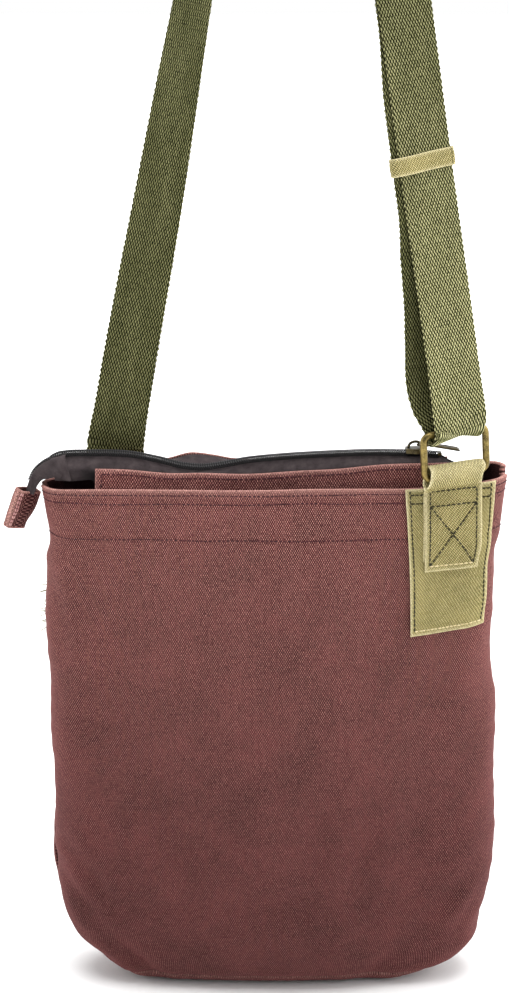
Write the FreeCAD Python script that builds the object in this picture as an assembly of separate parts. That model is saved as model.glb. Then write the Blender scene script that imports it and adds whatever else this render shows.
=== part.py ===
import FreeCAD, Part

import math
import os

# Crossbody purse in canvas, hanging by its webbing strap. Millimetres, +Z up.
# The purse is built with its base at z = 0 and its front facing -Y, then moved
# so that the origin is the underside of the strap's highest point.

Vector = FreeCAD.Vector
UP = Vector(0, 0, 1)
ALONG_X = Vector(1, 0, 0)
ALONG_Y = Vector(0, 1, 0)

# Driving dimensions of the body
RIM = 355.0                 # height of the rim above the base
CANVAS = 1.5                # folded canvas of the panels
FACING = 1.3                # turned-in hem band behind the rim
LINING = 0.8
LAYER_GAP = 0.2             # air between sewn layers
HEM_DEPTH = 36.0
LINING_DROP = 14.0          # the lining's top edge below the rim
BASE_SEAM = 8.0             # height where the base panel meets the walls
SIDE_SEAM_GAP = 0.1
BEYOND = 300.0              # half size of cutting boxes, well outside the purse

# height, half width, half depth and end radius of the body's outline
BODY_LEVELS = [
    (0, 90, 25, 22),
    (3, 104, 31, 26),
    (8, 117, 36, 29),
    (16, 128, 41, 32),
    (30, 139, 46, 34),
    (55, 148, 49, 35),
    (100, 152, 50, 35),
    (170, 152, 48, 34),
    (235, 150, 44, 32),
    (300, 150, 37, 26),
    (RIM, 153, 30, 20),
]

# Strap webbing and its path
WEBBING_WIDTH = 38.0
WEBBING = 1.8
STRAP_TURN = 25.0           # turn of the ring and doubled strap about the vertical
HANG_HEIGHT = 565.0         # underside of the strap's top above the rim
HANG_X = 20.0               # sideways place of the strap's top
HANG_RADIUS = 24.0          # of whatever the strap hangs over
LEFT_START = Vector(-106.0, 26.4, RIM + 17.5)
START_RISE = 6.5            # the right run begins this far above the ring's top bar
START_ASIDE = 1.5           # and this far along the bar
LEFT_TURN = (-14.0, -90.0)  # turn of the left run at its foot and at its top
LEFT_TWIST = 1.3            # how late the left run's twist comes
LEFT_STATIONS = 14          # outlines that shape the left run
TWIST_START = RIM + 428     # above this the right run turns to lie flat over the top
PLY_STEP = WEBBING + 0.3    # spacing of the doubled strap's two layers
PLY_ASIDE = 4.0             # the back layer lies this far to the left
BEND_CLEARANCE = 1.3        # between a run's end and the top bend

# Rectangular ring of round wire
RING_WIRE = 4.8
RING_WIDTH = 46.5           # between wire centres
RING_HEIGHT = 29.0
RING_CORNER = 4.0
RING_FOOT = Vector(119.3, -24.5, RIM + 8.5)
LOOP_INNER = RING_WIRE / 2 + 0.45
LOOP_LEG = 3.0              # straight ends of the webbing's turn round the ring

# Canvas patches that carry the ring tab and the strap's sewn end
PATCH = 1.2
PATCH_LIFT = 0.15
PATCH_INNER_EDGE = 88.0
PATCH_OUTER_EDGE = 146.0
PATCH_DROP = 98.0
TAB_WIDTH = 35.0
TAB = 1.5
TAB_DROP = 52.0
RIM_CLEARANCE = 0.4         # between the rim and what bends over it
RIM_CROSSING = 3.0          # height over which a sewn layer passes the rim

# Loose threads beside the rear patch
FRINGE_THREADS = 7
FRINGE_X = -147.5
FRINGE_Y = 15.0
FRINGE_DROP = 70.0          # the topmost thread below the rim
FRINGE_STEP = 3.6
FRINGE_RADIUS = 0.4

# Zip along the mouth, all heights counted from the rim
ZIP_LEFT = -140.0
ZIP_RIGHT = 118.0
COIL_RIGHT = 110.0
COIL_SIZE = 2.3
COIL_GAP = 2.6
COIL_FOOT = 17.3
TAPE = 0.7
TAPE_FOOT = -8.0
TAPE_BEND = 6.3             # distance from the middle where the tape turns down
STRIP = 2.0
STRIP_LEFT = -116.0
STRIP_TOP = 8.5
STRIP_FOOT = -14.0
STRIP_LIFT = 1.2            # from the tape's middle to the strip
SLOPE_LEAN = 0.26           # outward lean of the tape and strips per height
SLOPE_TOP = 17.0            # height where the lean starts
STOP_LENGTH = 3.0
SLIDER_X = 96.0
SLIDER_LENGTH = 14.0
SLIDER_PLATE = 1.3
SLIDER_NECK = 4.9           # half width at the narrow end
SLIDER_SHOULDER = 6.2       # half width at the widest place
BRIDGE_TOP = 26.2
BRIDGE_HALF = 1.1
PULL_X = 97.6
PULL_HEIGHT = 23.2
PULL_PIN = 0.75             # radius of the bar inside the bridge
PULL_HALF = 3.7             # half width of the tab
TAIL_HALF = 9.0             # half width of the tape past the left rim
TAIL_X = -161.8
TAIL_Z = -3.6
TAIL_SLOPE = 67.0           # of the end tab below the horizontal
TAIL_LENGTH = 30.0

# Keeper and adjuster, measured along the doubled strap
KEEPER_RISE = 176.0         # above the ring's top bar
KEEPER_HEIGHT = 11.5
KEEPER_WALL = 1.3
ADJUSTER_RISE = 320.0
ADJUSTER_BAR = 3.0
ADJUSTER_HALF = 11.5        # half the height between its outer bars
FOLD_LENGTH = 36.0          # webbing from the adjuster's middle bar back to the doubled strap
FOLD_END = 12.0             # the turned-back end below the same bar
FIT_SLACK = 0.5             # air between the strap and what slides on it

SHIFT = Vector(-HANG_X, 0, -(RIM + HANG_HEIGHT))


def save(shape, name):
    """Move a finished shape to the hanging origin and write it."""
    hung = shape.copy()
    hung.translate(SHIFT)
    if not hung.isValid():
        raise ValueError(name + " is not a valid shape")
    hung.exportStep("parts/" + name + ".step")


# ---------------------------------------------------------------- outlines

def oval(half_width, half_depth, end_radius, z):
    """Closed outline of two flat arcs and two tight end arcs, all tangent."""
    reach = half_width - end_radius
    squat = half_depth - end_radius
    rise = (reach ** 2 - squat ** 2) / (2 * squat)
    length = math.hypot(reach, rise)
    touch_x = reach + end_radius * reach / length
    touch_y = end_radius * rise / length
    front_left = Vector(-touch_x, -touch_y, z)
    front_right = Vector(touch_x, -touch_y, z)
    rear_right = Vector(touch_x, touch_y, z)
    rear_left = Vector(-touch_x, touch_y, z)
    arcs = [
        Part.Arc(front_left, Vector(0, -half_depth, z), front_right),
        Part.Arc(front_right, Vector(half_width, 0, z), rear_right),
        Part.Arc(rear_right, Vector(0, half_depth, z), rear_left),
        Part.Arc(rear_left, Vector(-half_width, 0, z), front_left),
    ]
    return Part.Wire([arc.toShape() for arc in arcs])


def body_form(inset, floor=0.0):
    """The body's whole form, set in from its outer face and raised off its base."""
    wires = []
    for z, half_width, half_depth, end_radius in BODY_LEVELS:
        height = floor + z * (RIM - floor) / RIM
        wires.append(oval(half_width - inset, half_depth - inset, end_radius - inset, height))
    return Part.makeLoft(wires, True, True)


def block(low, high):
    """Box between two corners."""
    size = high - low
    return Part.makeBox(size.x, size.y, size.z, low)


def front_side(low_z, high_z):
    """Everything in front of the side seams between two heights."""
    return block(Vector(-BEYOND, -BEYOND, low_z), Vector(BEYOND, -SIDE_SEAM_GAP / 2, high_z))


def rear_side(low_z, high_z):
    return block(Vector(-BEYOND, SIDE_SEAM_GAP / 2, low_z), Vector(BEYOND, BEYOND, high_z))


def prism_x(profile, low_x, high_x):
    """Profile of (y, z) corners pulled along X."""
    points = [Vector(low_x, y, z) for y, z in profile]
    face = Part.Face(Part.makePolygon(points + points[:1]))
    return face.extrude(Vector(high_x - low_x, 0, 0))


def prism_y(profile, low_y, high_y):
    """Profile of (x, z) corners pulled along Y."""
    points = [Vector(x, low_y, z) for x, z in profile]
    face = Part.Face(Part.makePolygon(points + points[:1]))
    return face.extrude(Vector(0, high_y - low_y, 0))


# ------------------------------------------------------------ bag body

def make_walls():
    """Front and rear panels, and the base panel that closes them underneath."""
    shell = body_form(0).cut(body_form(CANVAS, CANVAS))
    seam = BASE_SEAM + SIDE_SEAM_GAP
    save(shell.common(front_side(seam, RIM + 1)), "front_panel")
    save(shell.common(rear_side(seam, RIM + 1)), "rear_panel")
    underside = block(Vector(-BEYOND, -BEYOND, -1), Vector(BEYOND, BEYOND, BASE_SEAM))
    save(shell.common(underside), "base_panel")


def make_facings():
    """Turned-in hem band that the three rows of stitching hold."""
    outer = CANVAS + LAYER_GAP
    band = body_form(outer).cut(body_form(outer + FACING))
    low = RIM - HEM_DEPTH
    save(band.common(front_side(low, RIM - LAYER_GAP)), "front_facing")
    save(band.common(rear_side(low, RIM - LAYER_GAP)), "rear_facing")


def make_lining():
    outer = CANVAS + FACING + 2 * LAYER_GAP
    floor = CANVAS + 2 * LAYER_GAP
    bag = body_form(outer, floor).cut(body_form(outer + LINING, floor + LINING))
    top = RIM - LINING_DROP
    save(bag.common(front_side(-1, top)), "lining_front")
    save(bag.common(rear_side(-1, top)), "lining_rear")


def skin(lift, thickness):
    """Thin layer that lies on the outside of the body."""
    return body_form(-lift - thickness).cut(body_form(-lift))


def raised(sewn):
    """Layer sewn on the wall, carried a little way straight up past the rim."""
    top = [face for face in sewn.Faces if abs(face.CenterOfMass.z - RIM) < 0.01][0]
    return sewn.fuse(top.extrude(UP * RIM_CROSSING))


def half_turn(shape):
    """Copy turned to the opposite corner of the bag."""
    turned = shape.copy()
    turned.rotate(Vector(0, 0, 0), UP, 180)
    return turned


def make_patches():
    window = block(Vector(PATCH_INNER_EDGE, -BEYOND, RIM - PATCH_DROP),
                   Vector(PATCH_OUTER_EDGE, -SIDE_SEAM_GAP, RIM))
    patch = skin(PATCH_LIFT, PATCH).common(window)
    save(patch, "front_patch")
    save(half_turn(patch), "rear_patch")


# ------------------------------------------------------ strap directions

def turned(degrees):
    """Level direction of the webbing's width, turned about the vertical."""
    angle = math.radians(degrees)
    return Vector(math.cos(angle), math.sin(angle), 0)


RING_ACROSS = turned(STRAP_TURN)
RING_FRONT = RING_ACROSS.cross(UP)
RING_TOP = RING_FOOT + UP * RING_HEIGHT
LOOP_MIDDLE = LOOP_INNER + WEBBING / 2
RIGHT_START = RING_TOP + RING_FRONT * LOOP_MIDDLE + RING_ACROSS * START_ASIDE + UP * START_RISE
BEND_CENTRE = Vector(HANG_X, 0, RIM + HANG_HEIGHT - HANG_RADIUS)
BEND_MIDDLE = HANG_RADIUS + WEBBING / 2


def tangent_point(start, side):
    """Where a straight run from start meets the top bend, seen from the front."""
    across = start.x - BEND_CENTRE.x
    down = start.z - BEND_CENTRE.z
    distance = math.hypot(across, down)
    lean = math.acos(BEND_MIDDLE / distance)
    angle = math.atan2(down, across) + side * lean
    return BEND_CENTRE + Vector(math.cos(angle), 0, math.sin(angle)) * BEND_MIDDLE


RIGHT_END = tangent_point(RIGHT_START, 1)
LEFT_END = tangent_point(LEFT_START, -1)
RIGHT_RUN = (RIGHT_END - RIGHT_START).normalize()
LEFT_RUN = (LEFT_END - LEFT_START).normalize()


def crosswise(direction, degrees):
    """Width direction of webbing that runs along direction."""
    level = turned(degrees)
    return (level - direction * level.dot(direction)).normalize()


def webbing_outline(centre, across, face, thickness=WEBBING):
    """Rectangle across a run of webbing."""
    half_across = across * (WEBBING_WIDTH / 2)
    half_face = face * (thickness / 2)
    corners = [
        centre - half_across - half_face,
        centre + half_across - half_face,
        centre + half_across + half_face,
        centre - half_across + half_face,
    ]
    return Part.makePolygon(corners + corners[:1])


def webbing_run(start, direction, stations):
    """Loft along a straight run; stations are (distance, turn)."""
    wires = []
    for distance, degrees in stations:
        across = crosswise(direction, degrees)
        rearward = direction.cross(across).normalize()
        wires.append(webbing_outline(start + direction * distance, across, rearward))
    return Part.makeLoft(wires, True, True)


def twist_stations(length, first_turn, last_turn, first, steps):
    """Even stations whose turn eases from the first angle to the last."""
    stations = []
    for step in range(steps + 1):
        part = step / steps
        eased = part * part * (3 - 2 * part)
        distance = first + (length - first) * part
        stations.append((distance, first_turn + (last_turn - first_turn) * eased))
    return stations


def make_strap_runs():
    left_length = (LEFT_END - LEFT_START).Length - BEND_CLEARANCE
    first_turn, last_turn = LEFT_TURN
    stations = []
    for step in range(LEFT_STATIONS + 1):
        part = step / LEFT_STATIONS
        degrees = first_turn + (last_turn - first_turn) * part ** LEFT_TWIST
        stations.append((left_length * part, degrees))
    left = webbing_run(LEFT_START, LEFT_RUN, stations)
    save(left, "strap_left_run")
    right_length = (RIGHT_END - RIGHT_START).Length - BEND_CLEARANCE
    twist_from = (TWIST_START - RIGHT_START.z) / RIGHT_RUN.z
    doubled = [(0, STRAP_TURN)]
    twisting = twist_stations(right_length, STRAP_TURN, 90, twist_from, 6)
    save(webbing_run(RIGHT_START, RIGHT_RUN, doubled + twisting), "strap_right_run")


def bend_point(radius, angle):
    """Point on the side of the top bend, at an angle from +X."""
    flat = Vector(math.cos(angle), 0, math.sin(angle)) * radius
    return BEND_CENTRE + flat - ALONG_Y * (WEBBING_WIDTH / 2)


def bend_angle(point):
    return math.atan2(point.z - BEND_CENTRE.z, point.x - BEND_CENTRE.x)


def make_top_bend():
    """Webbing lying over whatever holds the strap, its width along Y."""
    low = bend_angle(RIGHT_END)
    high = bend_angle(LEFT_END)
    middle = (low + high) / 2
    outer = HANG_RADIUS + WEBBING
    edges = [
        Part.Arc(*[bend_point(HANG_RADIUS, angle) for angle in (low, middle, high)]).toShape(),
        Part.makeLine(bend_point(HANG_RADIUS, high), bend_point(outer, high)),
        Part.Arc(*[bend_point(outer, angle) for angle in (high, middle, low)]).toShape(),
        Part.makeLine(bend_point(outer, low), bend_point(HANG_RADIUS, low)),
    ]
    face = Part.Face(Part.Wire(edges))
    save(face.extrude(ALONG_Y * WEBBING_WIDTH), "strap_top_bend")


def local_frame(origin, across, rearward, along):
    """Placement that maps X to the width, Y to the back and Z to the run."""
    matrix = FreeCAD.Matrix(
        across.x, rearward.x, along.x, origin.x,
        across.y, rearward.y, along.y, origin.y,
        across.z, rearward.z, along.z, origin.z,
        0, 0, 0, 1)
    return FreeCAD.Placement(matrix)


def placed(shape, placement):
    moved = shape.copy()
    moved.Placement = placement.multiply(moved.Placement)
    return moved


# ---------------------------------------------------------- ring and tab

RING_FRAME = local_frame(RING_FOOT, RING_ACROSS, -RING_FRONT, UP)


def make_ring():
    """Round wire bent to a rectangle, feet at the tab's loop."""
    right = RING_WIDTH / 2
    top = RING_HEIGHT
    corner = RING_CORNER
    slack = corner * (1 - math.sqrt(0.5))
    edges = []
    for side_x, side_z in ((1, 1), (-1, 1), (-1, -1), (1, -1)):
        middle_z = top / 2
        corner_x = side_x * right
        corner_z = middle_z + side_z * middle_z
        on_leg = Vector(corner_x, 0, corner_z - side_z * corner)
        on_bar = Vector(corner_x - side_x * corner, 0, corner_z)
        mid = Vector(corner_x - side_x * slack, 0, corner_z - side_z * slack)
        edges.append(Part.Arc(on_leg, mid, on_bar).toShape())
        if side_x * side_z > 0:
            edges.append(Part.makeLine(on_bar, Vector(-on_bar.x, 0, on_bar.z)))
        else:
            edges.append(Part.makeLine(on_leg, Vector(on_leg.x, 0, top - on_leg.z)))
    path = Part.Wire(Part.__sortEdges__(edges))
    start = Vector(0, 0, 0)
    profile = Part.Wire(Part.makeCircle(RING_WIRE / 2, start, ALONG_X))
    ring = path.makePipeShell([profile], True, False)
    save(placed(ring, RING_FRAME), "strap_ring")


def sleeve(length, inner, outer, height):
    """Tube round one of the ring's bars, in the ring's own frame."""
    start = Vector(-length / 2, 0, height)
    tube = Part.makeCylinder(outer, length, start, ALONG_X)
    return tube.cut(Part.makeCylinder(inner, length, start, ALONG_X))


def make_ring_tab():
    """Canvas strip sewn to the patch and looped round the ring's lower bar."""
    outer = LOOP_INNER + TAB
    loop = sleeve(TAB_WIDTH, LOOP_INNER, outer, 0)
    neck = block(Vector(-TAB_WIDTH / 2, -outer, RIM + RIM_CLEARANCE - RING_FOOT.z),
                 Vector(TAB_WIDTH / 2, -LOOP_INNER, 0))
    low = RIM - TAB_DROP
    middle = RING_FOOT.x
    window = block(Vector(middle - TAB_WIDTH / 2, -BEYOND, low),
                   Vector(middle + TAB_WIDTH / 2, 0, RIM))
    sewn = raised(skin(2 * PATCH_LIFT + PATCH, TAB).common(window))
    tab = placed(loop.fuse(neck), RING_FRAME).fuse(sewn).removeSplitter()
    save(tab, "ring_tab")


def make_ring_loop():
    """Webbing turned round the ring's top bar, open upwards."""
    outer = LOOP_INNER + WEBBING
    loop = sleeve(WEBBING_WIDTH, LOOP_INNER, outer, RING_HEIGHT)
    half = WEBBING_WIDTH / 2
    keep = block(Vector(-half, -outer, RING_HEIGHT - outer), Vector(half, outer, RING_HEIGHT))
    turn = loop.common(keep)
    for side in (-1, 1):
        near = min(side * LOOP_INNER, side * outer)
        leg = block(Vector(-half, near, RING_HEIGHT),
                    Vector(half, near + WEBBING, RING_HEIGHT + LOOP_LEG))
        turn = turn.fuse(leg)
    save(placed(turn.removeSplitter(), RING_FRAME), "strap_ring_loop")


# -------------------------------------------- doubled strap and its fittings

RIGHT_ACROSS = crosswise(RIGHT_RUN, STRAP_TURN)
RIGHT_REAR = RIGHT_RUN.cross(RIGHT_ACROSS).normalize()


def along_right(rise):
    """Placement on the doubled strap, a rise above the ring's top bar."""
    distance = (rise - START_RISE) / RIGHT_RUN.z
    return local_frame(RIGHT_START + RIGHT_RUN * distance, RIGHT_ACROSS, RIGHT_REAR, RIGHT_RUN)


def make_back_layer():
    """Returning layer, slack above the ring and flat against the run higher up."""
    top = ADJUSTER_RISE - START_RISE - FOLD_LENGTH - 2
    # distance up the run, distance behind it and distance to its left
    stations = [
        (0, 2 * LOOP_MIDDLE, 0),
        (14, 12.5, 5),
        (32, 15.5, 7.5),
        (60, 12, 6.5),
        (95, 7.5, 6),
        (135, PLY_STEP + 1.2, PLY_ASIDE),
        (155, PLY_STEP, PLY_ASIDE),
        (225, PLY_STEP, PLY_ASIDE),
        (top, PLY_STEP, 0),
    ]
    wires = []
    for distance, back, aside in stations:
        centre = RIGHT_START + RIGHT_RUN * distance + RIGHT_REAR * back - RIGHT_ACROSS * aside
        wires.append(webbing_outline(centre, RIGHT_ACROSS, RIGHT_REAR))
    save(Part.makeLoft(wires, True, True), "strap_back_layer")


def make_keeper():
    """Canvas band round both layers."""
    half_width = WEBBING_WIDTH / 2 + FIT_SLACK
    front = -WEBBING / 2 - FIT_SLACK
    rear = PLY_STEP + WEBBING / 2 + FIT_SLACK
    wall = KEEPER_WALL
    half_height = KEEPER_HEIGHT / 2
    left = half_width + PLY_ASIDE
    outer = block(Vector(-left - wall, front - wall, -half_height),
                  Vector(half_width + wall, rear + wall, half_height))
    inner = block(Vector(-left, front, -half_height), Vector(half_width, rear, half_height))
    save(placed(outer.cut(inner), along_right(KEEPER_RISE)), "strap_keeper")


def make_adjuster():
    """Three-bar slider whose middle bar is set back behind the strap."""
    radius = ADJUSTER_BAR / 2
    leg_inner = WEBBING_WIDTH / 2 + FIT_SLACK + 0.3
    leg_outer = leg_inner + ADJUSTER_BAR
    front = -WEBBING / 2 - FIT_SLACK - radius
    back = PLY_STEP + WEBBING / 2 + 0.3 + radius
    half_height = ADJUSTER_HALF
    frame = None
    for y, z in ((front, -half_height), (front, half_height), (back, 0)):
        bar = Part.makeCylinder(radius, 2 * leg_outer, Vector(-leg_outer, y, z), ALONG_X)
        frame = bar if frame is None else frame.fuse(bar)
    for low_x in (-leg_outer, leg_inner):
        leg = block(Vector(low_x, front - radius, -half_height - radius),
                    Vector(low_x + ADJUSTER_BAR, back + radius, half_height + radius))
        frame = frame.fuse(leg)
    save(placed(frame.removeSplitter(), along_right(ADJUSTER_RISE)), "adjuster_frame")


def make_end_fold():
    """Back layer's end, turned over the adjuster's middle bar and sewn to itself."""
    radius = ADJUSTER_BAR / 2
    back = PLY_STEP + WEBBING / 2 + 0.3 + radius
    inner = radius + 0.3
    outer = inner + WEBBING
    half = WEBBING_WIDTH / 2
    start = Vector(-half, back, 0)
    turn = Part.makeCylinder(outer, WEBBING_WIDTH, start, ALONG_X)
    turn = turn.cut(Part.makeCylinder(inner, WEBBING_WIDTH, start, ALONG_X))
    turn = turn.common(block(Vector(-half, -BEYOND, 0), Vector(half, BEYOND, BEYOND)))
    near = block(Vector(-half, back - outer, -FOLD_LENGTH), Vector(half, back - inner, 0))
    far = block(Vector(-half, back + inner, -FOLD_END), Vector(half, back + outer, 0))
    end = block(Vector(-half, back - inner, 4 - FOLD_LENGTH),
                Vector(half, back - inner + WEBBING, -FOLD_END))
    join = prism_x([(back - inner, -FOLD_END - 2), (back + outer, -FOLD_END),
                    (back + inner, -FOLD_END), (back - inner, -FOLD_END)], -half, half)
    fold = turn.fuse(near).fuse(far).fuse(end).fuse(join).removeSplitter()
    save(placed(fold, along_right(ADJUSTER_RISE)), "strap_end_fold")


def make_sewn_end():
    """Left end of the strap, sewn on the rear patch and rising over the rim."""
    half = WEBBING_WIDTH / 2
    middle = LEFT_START.x
    low = RIM - TAB_DROP
    window = block(Vector(-middle - half, -BEYOND, low), Vector(-middle + half, 0, RIM))
    sewn = half_turn(raised(skin(2 * PATCH_LIFT + PATCH, WEBBING).common(window)))
    neck = block(Vector(middle - half, LEFT_START.y - WEBBING / 2, RIM + RIM_CLEARANCE),
                 Vector(middle + half, LEFT_START.y + WEBBING / 2, LEFT_START.z - 4))
    save(sewn.fuse(neck).removeSplitter(), "strap_sewn_end")


def make_fringe():
    """Loose warp threads at the rear patch's cut edge on the left side."""
    threads = []
    for index in range(FRINGE_THREADS):
        height = RIM - FRINGE_DROP - FRINGE_STEP * index
        start = Vector(FRINGE_X, FRINGE_Y, height)
        lean = Vector(-11 - 2 * math.sin(2.1 * index), 2.0, 4 * math.cos(1.7 * index))
        threads.append(Part.makeCylinder(FRINGE_RADIUS, lean.Length, start, lean))
    save(Part.makeCompound(threads), "fringe_threads")


# ------------------------------------------------------------------ zip

def slope_profile(top, bottom, near, far):
    """Sloping layer between two distances outside the tape's centre line."""
    high_y = -6.5 - (SLOPE_TOP - top) * SLOPE_LEAN
    low_y = -6.5 - (SLOPE_TOP - bottom) * SLOPE_LEAN
    return [(high_y - near, top), (high_y - far, top), (low_y - far, bottom), (low_y - near, bottom)]


def above_rim(profile):
    return [(y, z + RIM) for y, z in profile]


def mirror_save(profile, low_x, high_x, front_name, rear_name):
    """Write a zip piece and its mirror image behind the mouth's middle."""
    front = prism_x(above_rim(profile), low_x, high_x)
    save(front, front_name)
    save(front.mirror(Vector(0, 0, 0), ALONG_Y), rear_name)


def make_zip():
    inner = COIL_GAP / 2
    outer = inner + COIL_SIZE
    coil_top = COIL_FOOT + COIL_SIZE
    coil = [(-outer, COIL_FOOT), (-inner, COIL_FOOT), (-inner, coil_top), (-outer, coil_top)]
    mirror_save(coil, ZIP_LEFT, COIL_RIGHT, "zip_coil_front", "zip_coil_rear")
    tape_top = COIL_FOOT - 0.1
    tape_under = tape_top - TAPE
    foot_y = TAPE_BEND + 6.5
    tape = [
        (-inner, tape_top),
        (-inner, tape_under),
        (-TAPE_BEND, tape_under),
        (-foot_y, TAPE_FOOT),
        (-foot_y - 0.8, TAPE_FOOT),
        (-TAPE_BEND - 0.5, tape_top),
    ]
    mirror_save(tape, ZIP_LEFT, ZIP_RIGHT, "zip_tape_front", "zip_tape_rear")
    strip = slope_profile(STRIP_TOP, STRIP_FOOT, STRIP_LIFT, STRIP_LIFT + STRIP)
    mirror_save(strip, STRIP_LEFT, ZIP_RIGHT, "zip_strip_front", "zip_strip_rear")
    stops = []
    for low_x in (COIL_RIGHT + 0.2, ZIP_LEFT - STOP_LENGTH - 0.2):
        stops.append(block(Vector(low_x, -outer, RIM + tape_under),
                           Vector(low_x + STOP_LENGTH, outer, RIM + COIL_FOOT + 1.2)))
    right, left = stops
    right = right.cut(prism_x(above_rim(tape), ZIP_LEFT, ZIP_RIGHT))
    right = right.cut(prism_x(above_rim([(-y, z) for y, z in tape]), ZIP_LEFT, ZIP_RIGHT))
    save(Part.makeCompound([right, left]), "zip_stops")


def slider_plate(low_z, high_z):
    """Plate with a wide mouth to the right and a narrow tail to the left."""
    low_x = SLIDER_X - SLIDER_LENGTH / 2
    high_x = SLIDER_X + SLIDER_LENGTH / 2
    shoulder_x = high_x - 5
    mouth = SLIDER_NECK + 0.1
    corners = [
        (low_x, -SLIDER_NECK),
        (shoulder_x, -SLIDER_SHOULDER),
        (high_x, -mouth),
        (high_x, mouth),
        (shoulder_x, SLIDER_SHOULDER),
        (low_x, SLIDER_NECK),
    ]
    points = [Vector(x, y, low_z) for x, y in corners]
    face = Part.Face(Part.makePolygon(points + points[:1]))
    return face.extrude(Vector(0, 0, high_z - low_z))


def make_slider():
    """Slider body over and under the chain, with the bridge that holds the pull."""
    top = RIM + COIL_FOOT + COIL_SIZE + 0.5
    plate_top = top + SLIDER_PLATE
    upper = slider_plate(top, plate_top)
    between_tapes = block(Vector(0, -4.2, 0), Vector(BEYOND, 4.2, RIM + BEYOND))
    lower = slider_plate(RIM + 14.4, RIM + 16.0).common(between_tapes)
    post = block(Vector(SLIDER_X + 3, -0.8, RIM + 15), Vector(SLIDER_X + 6, 0.8, plate_top))
    body = upper.fuse(lower).fuse(post)
    low_x = SLIDER_X - SLIDER_LENGTH / 2
    flange = 0.8
    for near in (-SLIDER_NECK, SLIDER_NECK - flange):
        body = body.fuse(block(Vector(low_x, near, RIM + COIL_FOOT + 0.8),
                               Vector(SLIDER_X + 2, near + flange, plate_top)))
    bridge_top = RIM + BRIDGE_TOP
    bridge = block(Vector(SLIDER_X - 5, -BRIDGE_HALF, plate_top - 0.5),
                   Vector(SLIDER_X + 4, BRIDGE_HALF, bridge_top))
    window = block(Vector(SLIDER_X - 3.8, -2, plate_top),
                   Vector(SLIDER_X + 2.8, 2, bridge_top - 1.2))
    ends = []
    for edge in bridge.Edges:
        at_top = abs(edge.CenterOfMass.z - bridge_top) < 0.01
        if at_top and edge.BoundBox.YLength > 1 and edge.BoundBox.XLength < 0.1:
            ends.append(edge)
    rounded = bridge.makeFillet(1.5, ends)
    save(body.fuse(rounded.cut(window)).removeSplitter(), "zip_slider_body")


def make_pull():
    """Pull tab lying over the zip's right end, forked round the bridge."""
    pin = Vector(PULL_X, 0, RIM + PULL_HEIGHT)
    pull = Part.makeCylinder(PULL_PIN, 6.0, pin - ALONG_Y * 3, ALONG_Y)
    arm = [(-PULL_PIN, -0.7), (8.6, -0.7), (8.6, 0.9), (-PULL_PIN, 0.9)]
    tab = [(7.6, -0.7), (13, -1.1), (27, -2.9), (27.2, -1.4), (13.6, 0.5), (7.6, 0.9)]
    arm_inner = 1.6
    arm_outer = 3.2
    for low_y, high_y in ((-arm_outer, -arm_inner), (arm_inner, arm_outer)):
        pull = pull.fuse(prism_y([(x + pin.x, z + pin.z) for x, z in arm], low_y, high_y))
    plate = prism_y([(x + pin.x, z + pin.z) for x, z in tab], -PULL_HALF, PULL_HALF)
    save(pull.fuse(plate).removeSplitter(), "zip_pull_tab")


def make_tail():
    """End of the zip tape over the left rim, and the canvas tab folded over it."""
    tape = [
        (-144.4, 11.6),
        (-144.4, 13.4),
        (-153.0, 11.4),
        (-159.6, 6.4),
        (-162.4, -2.6),
        (-160.6, -3.0),
        (-158.0, 5.2),
        (-152.4, 9.6),
    ]
    save(prism_y([(x, z + RIM) for x, z in tape], -TAIL_HALF, TAIL_HALF), "zip_tail_tape")
    tab = block(Vector(-TAIL_LENGTH, -TAIL_HALF - 1, -4), Vector(0, TAIL_HALF + 1, 4))
    tab = tab.makeFillet(1.6, [edge for edge in tab.Edges if edge.BoundBox.YLength > 1])
    place = Vector(TAIL_X, 0, RIM + TAIL_Z)
    slope = FreeCAD.Placement(place, FreeCAD.Rotation(ALONG_Y, -TAIL_SLOPE))
    save(placed(tab, slope), "zip_end_tab")


os.makedirs("parts", exist_ok=True)
make_walls()
make_facings()
make_lining()
make_patches()
make_ring_tab()
make_sewn_end()
make_fringe()
make_zip()
make_tail()
make_slider()
make_pull()
make_strap_runs()
make_top_bend()
make_ring_loop()
make_back_layer()
make_ring()
make_keeper()
make_adjuster()
make_end_fold()
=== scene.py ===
import math

import bmesh
import bpy
import numpy as np
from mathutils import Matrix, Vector


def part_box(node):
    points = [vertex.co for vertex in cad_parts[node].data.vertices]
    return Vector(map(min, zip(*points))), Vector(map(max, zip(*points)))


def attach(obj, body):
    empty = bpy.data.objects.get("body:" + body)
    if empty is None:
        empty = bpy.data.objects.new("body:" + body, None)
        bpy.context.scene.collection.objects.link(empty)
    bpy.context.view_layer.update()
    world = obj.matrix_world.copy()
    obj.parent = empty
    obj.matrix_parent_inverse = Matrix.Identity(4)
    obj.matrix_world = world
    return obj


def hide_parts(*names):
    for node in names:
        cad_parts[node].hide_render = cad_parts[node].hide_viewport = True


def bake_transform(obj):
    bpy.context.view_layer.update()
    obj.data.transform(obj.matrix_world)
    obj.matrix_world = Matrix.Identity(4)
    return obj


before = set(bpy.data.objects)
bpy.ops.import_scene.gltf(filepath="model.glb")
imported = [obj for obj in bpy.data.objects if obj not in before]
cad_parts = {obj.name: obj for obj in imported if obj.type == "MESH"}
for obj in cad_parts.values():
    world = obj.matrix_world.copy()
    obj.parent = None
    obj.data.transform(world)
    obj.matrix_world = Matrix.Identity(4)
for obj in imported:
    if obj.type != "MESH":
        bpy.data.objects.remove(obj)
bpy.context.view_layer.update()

# Crossbody purse in washed canvas. Shapes are worked out in millimetres from the
# middle of the mouth at the rim: X to the right, Y to the back, Z up. place()
# turns them into the frame's metres.

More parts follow.
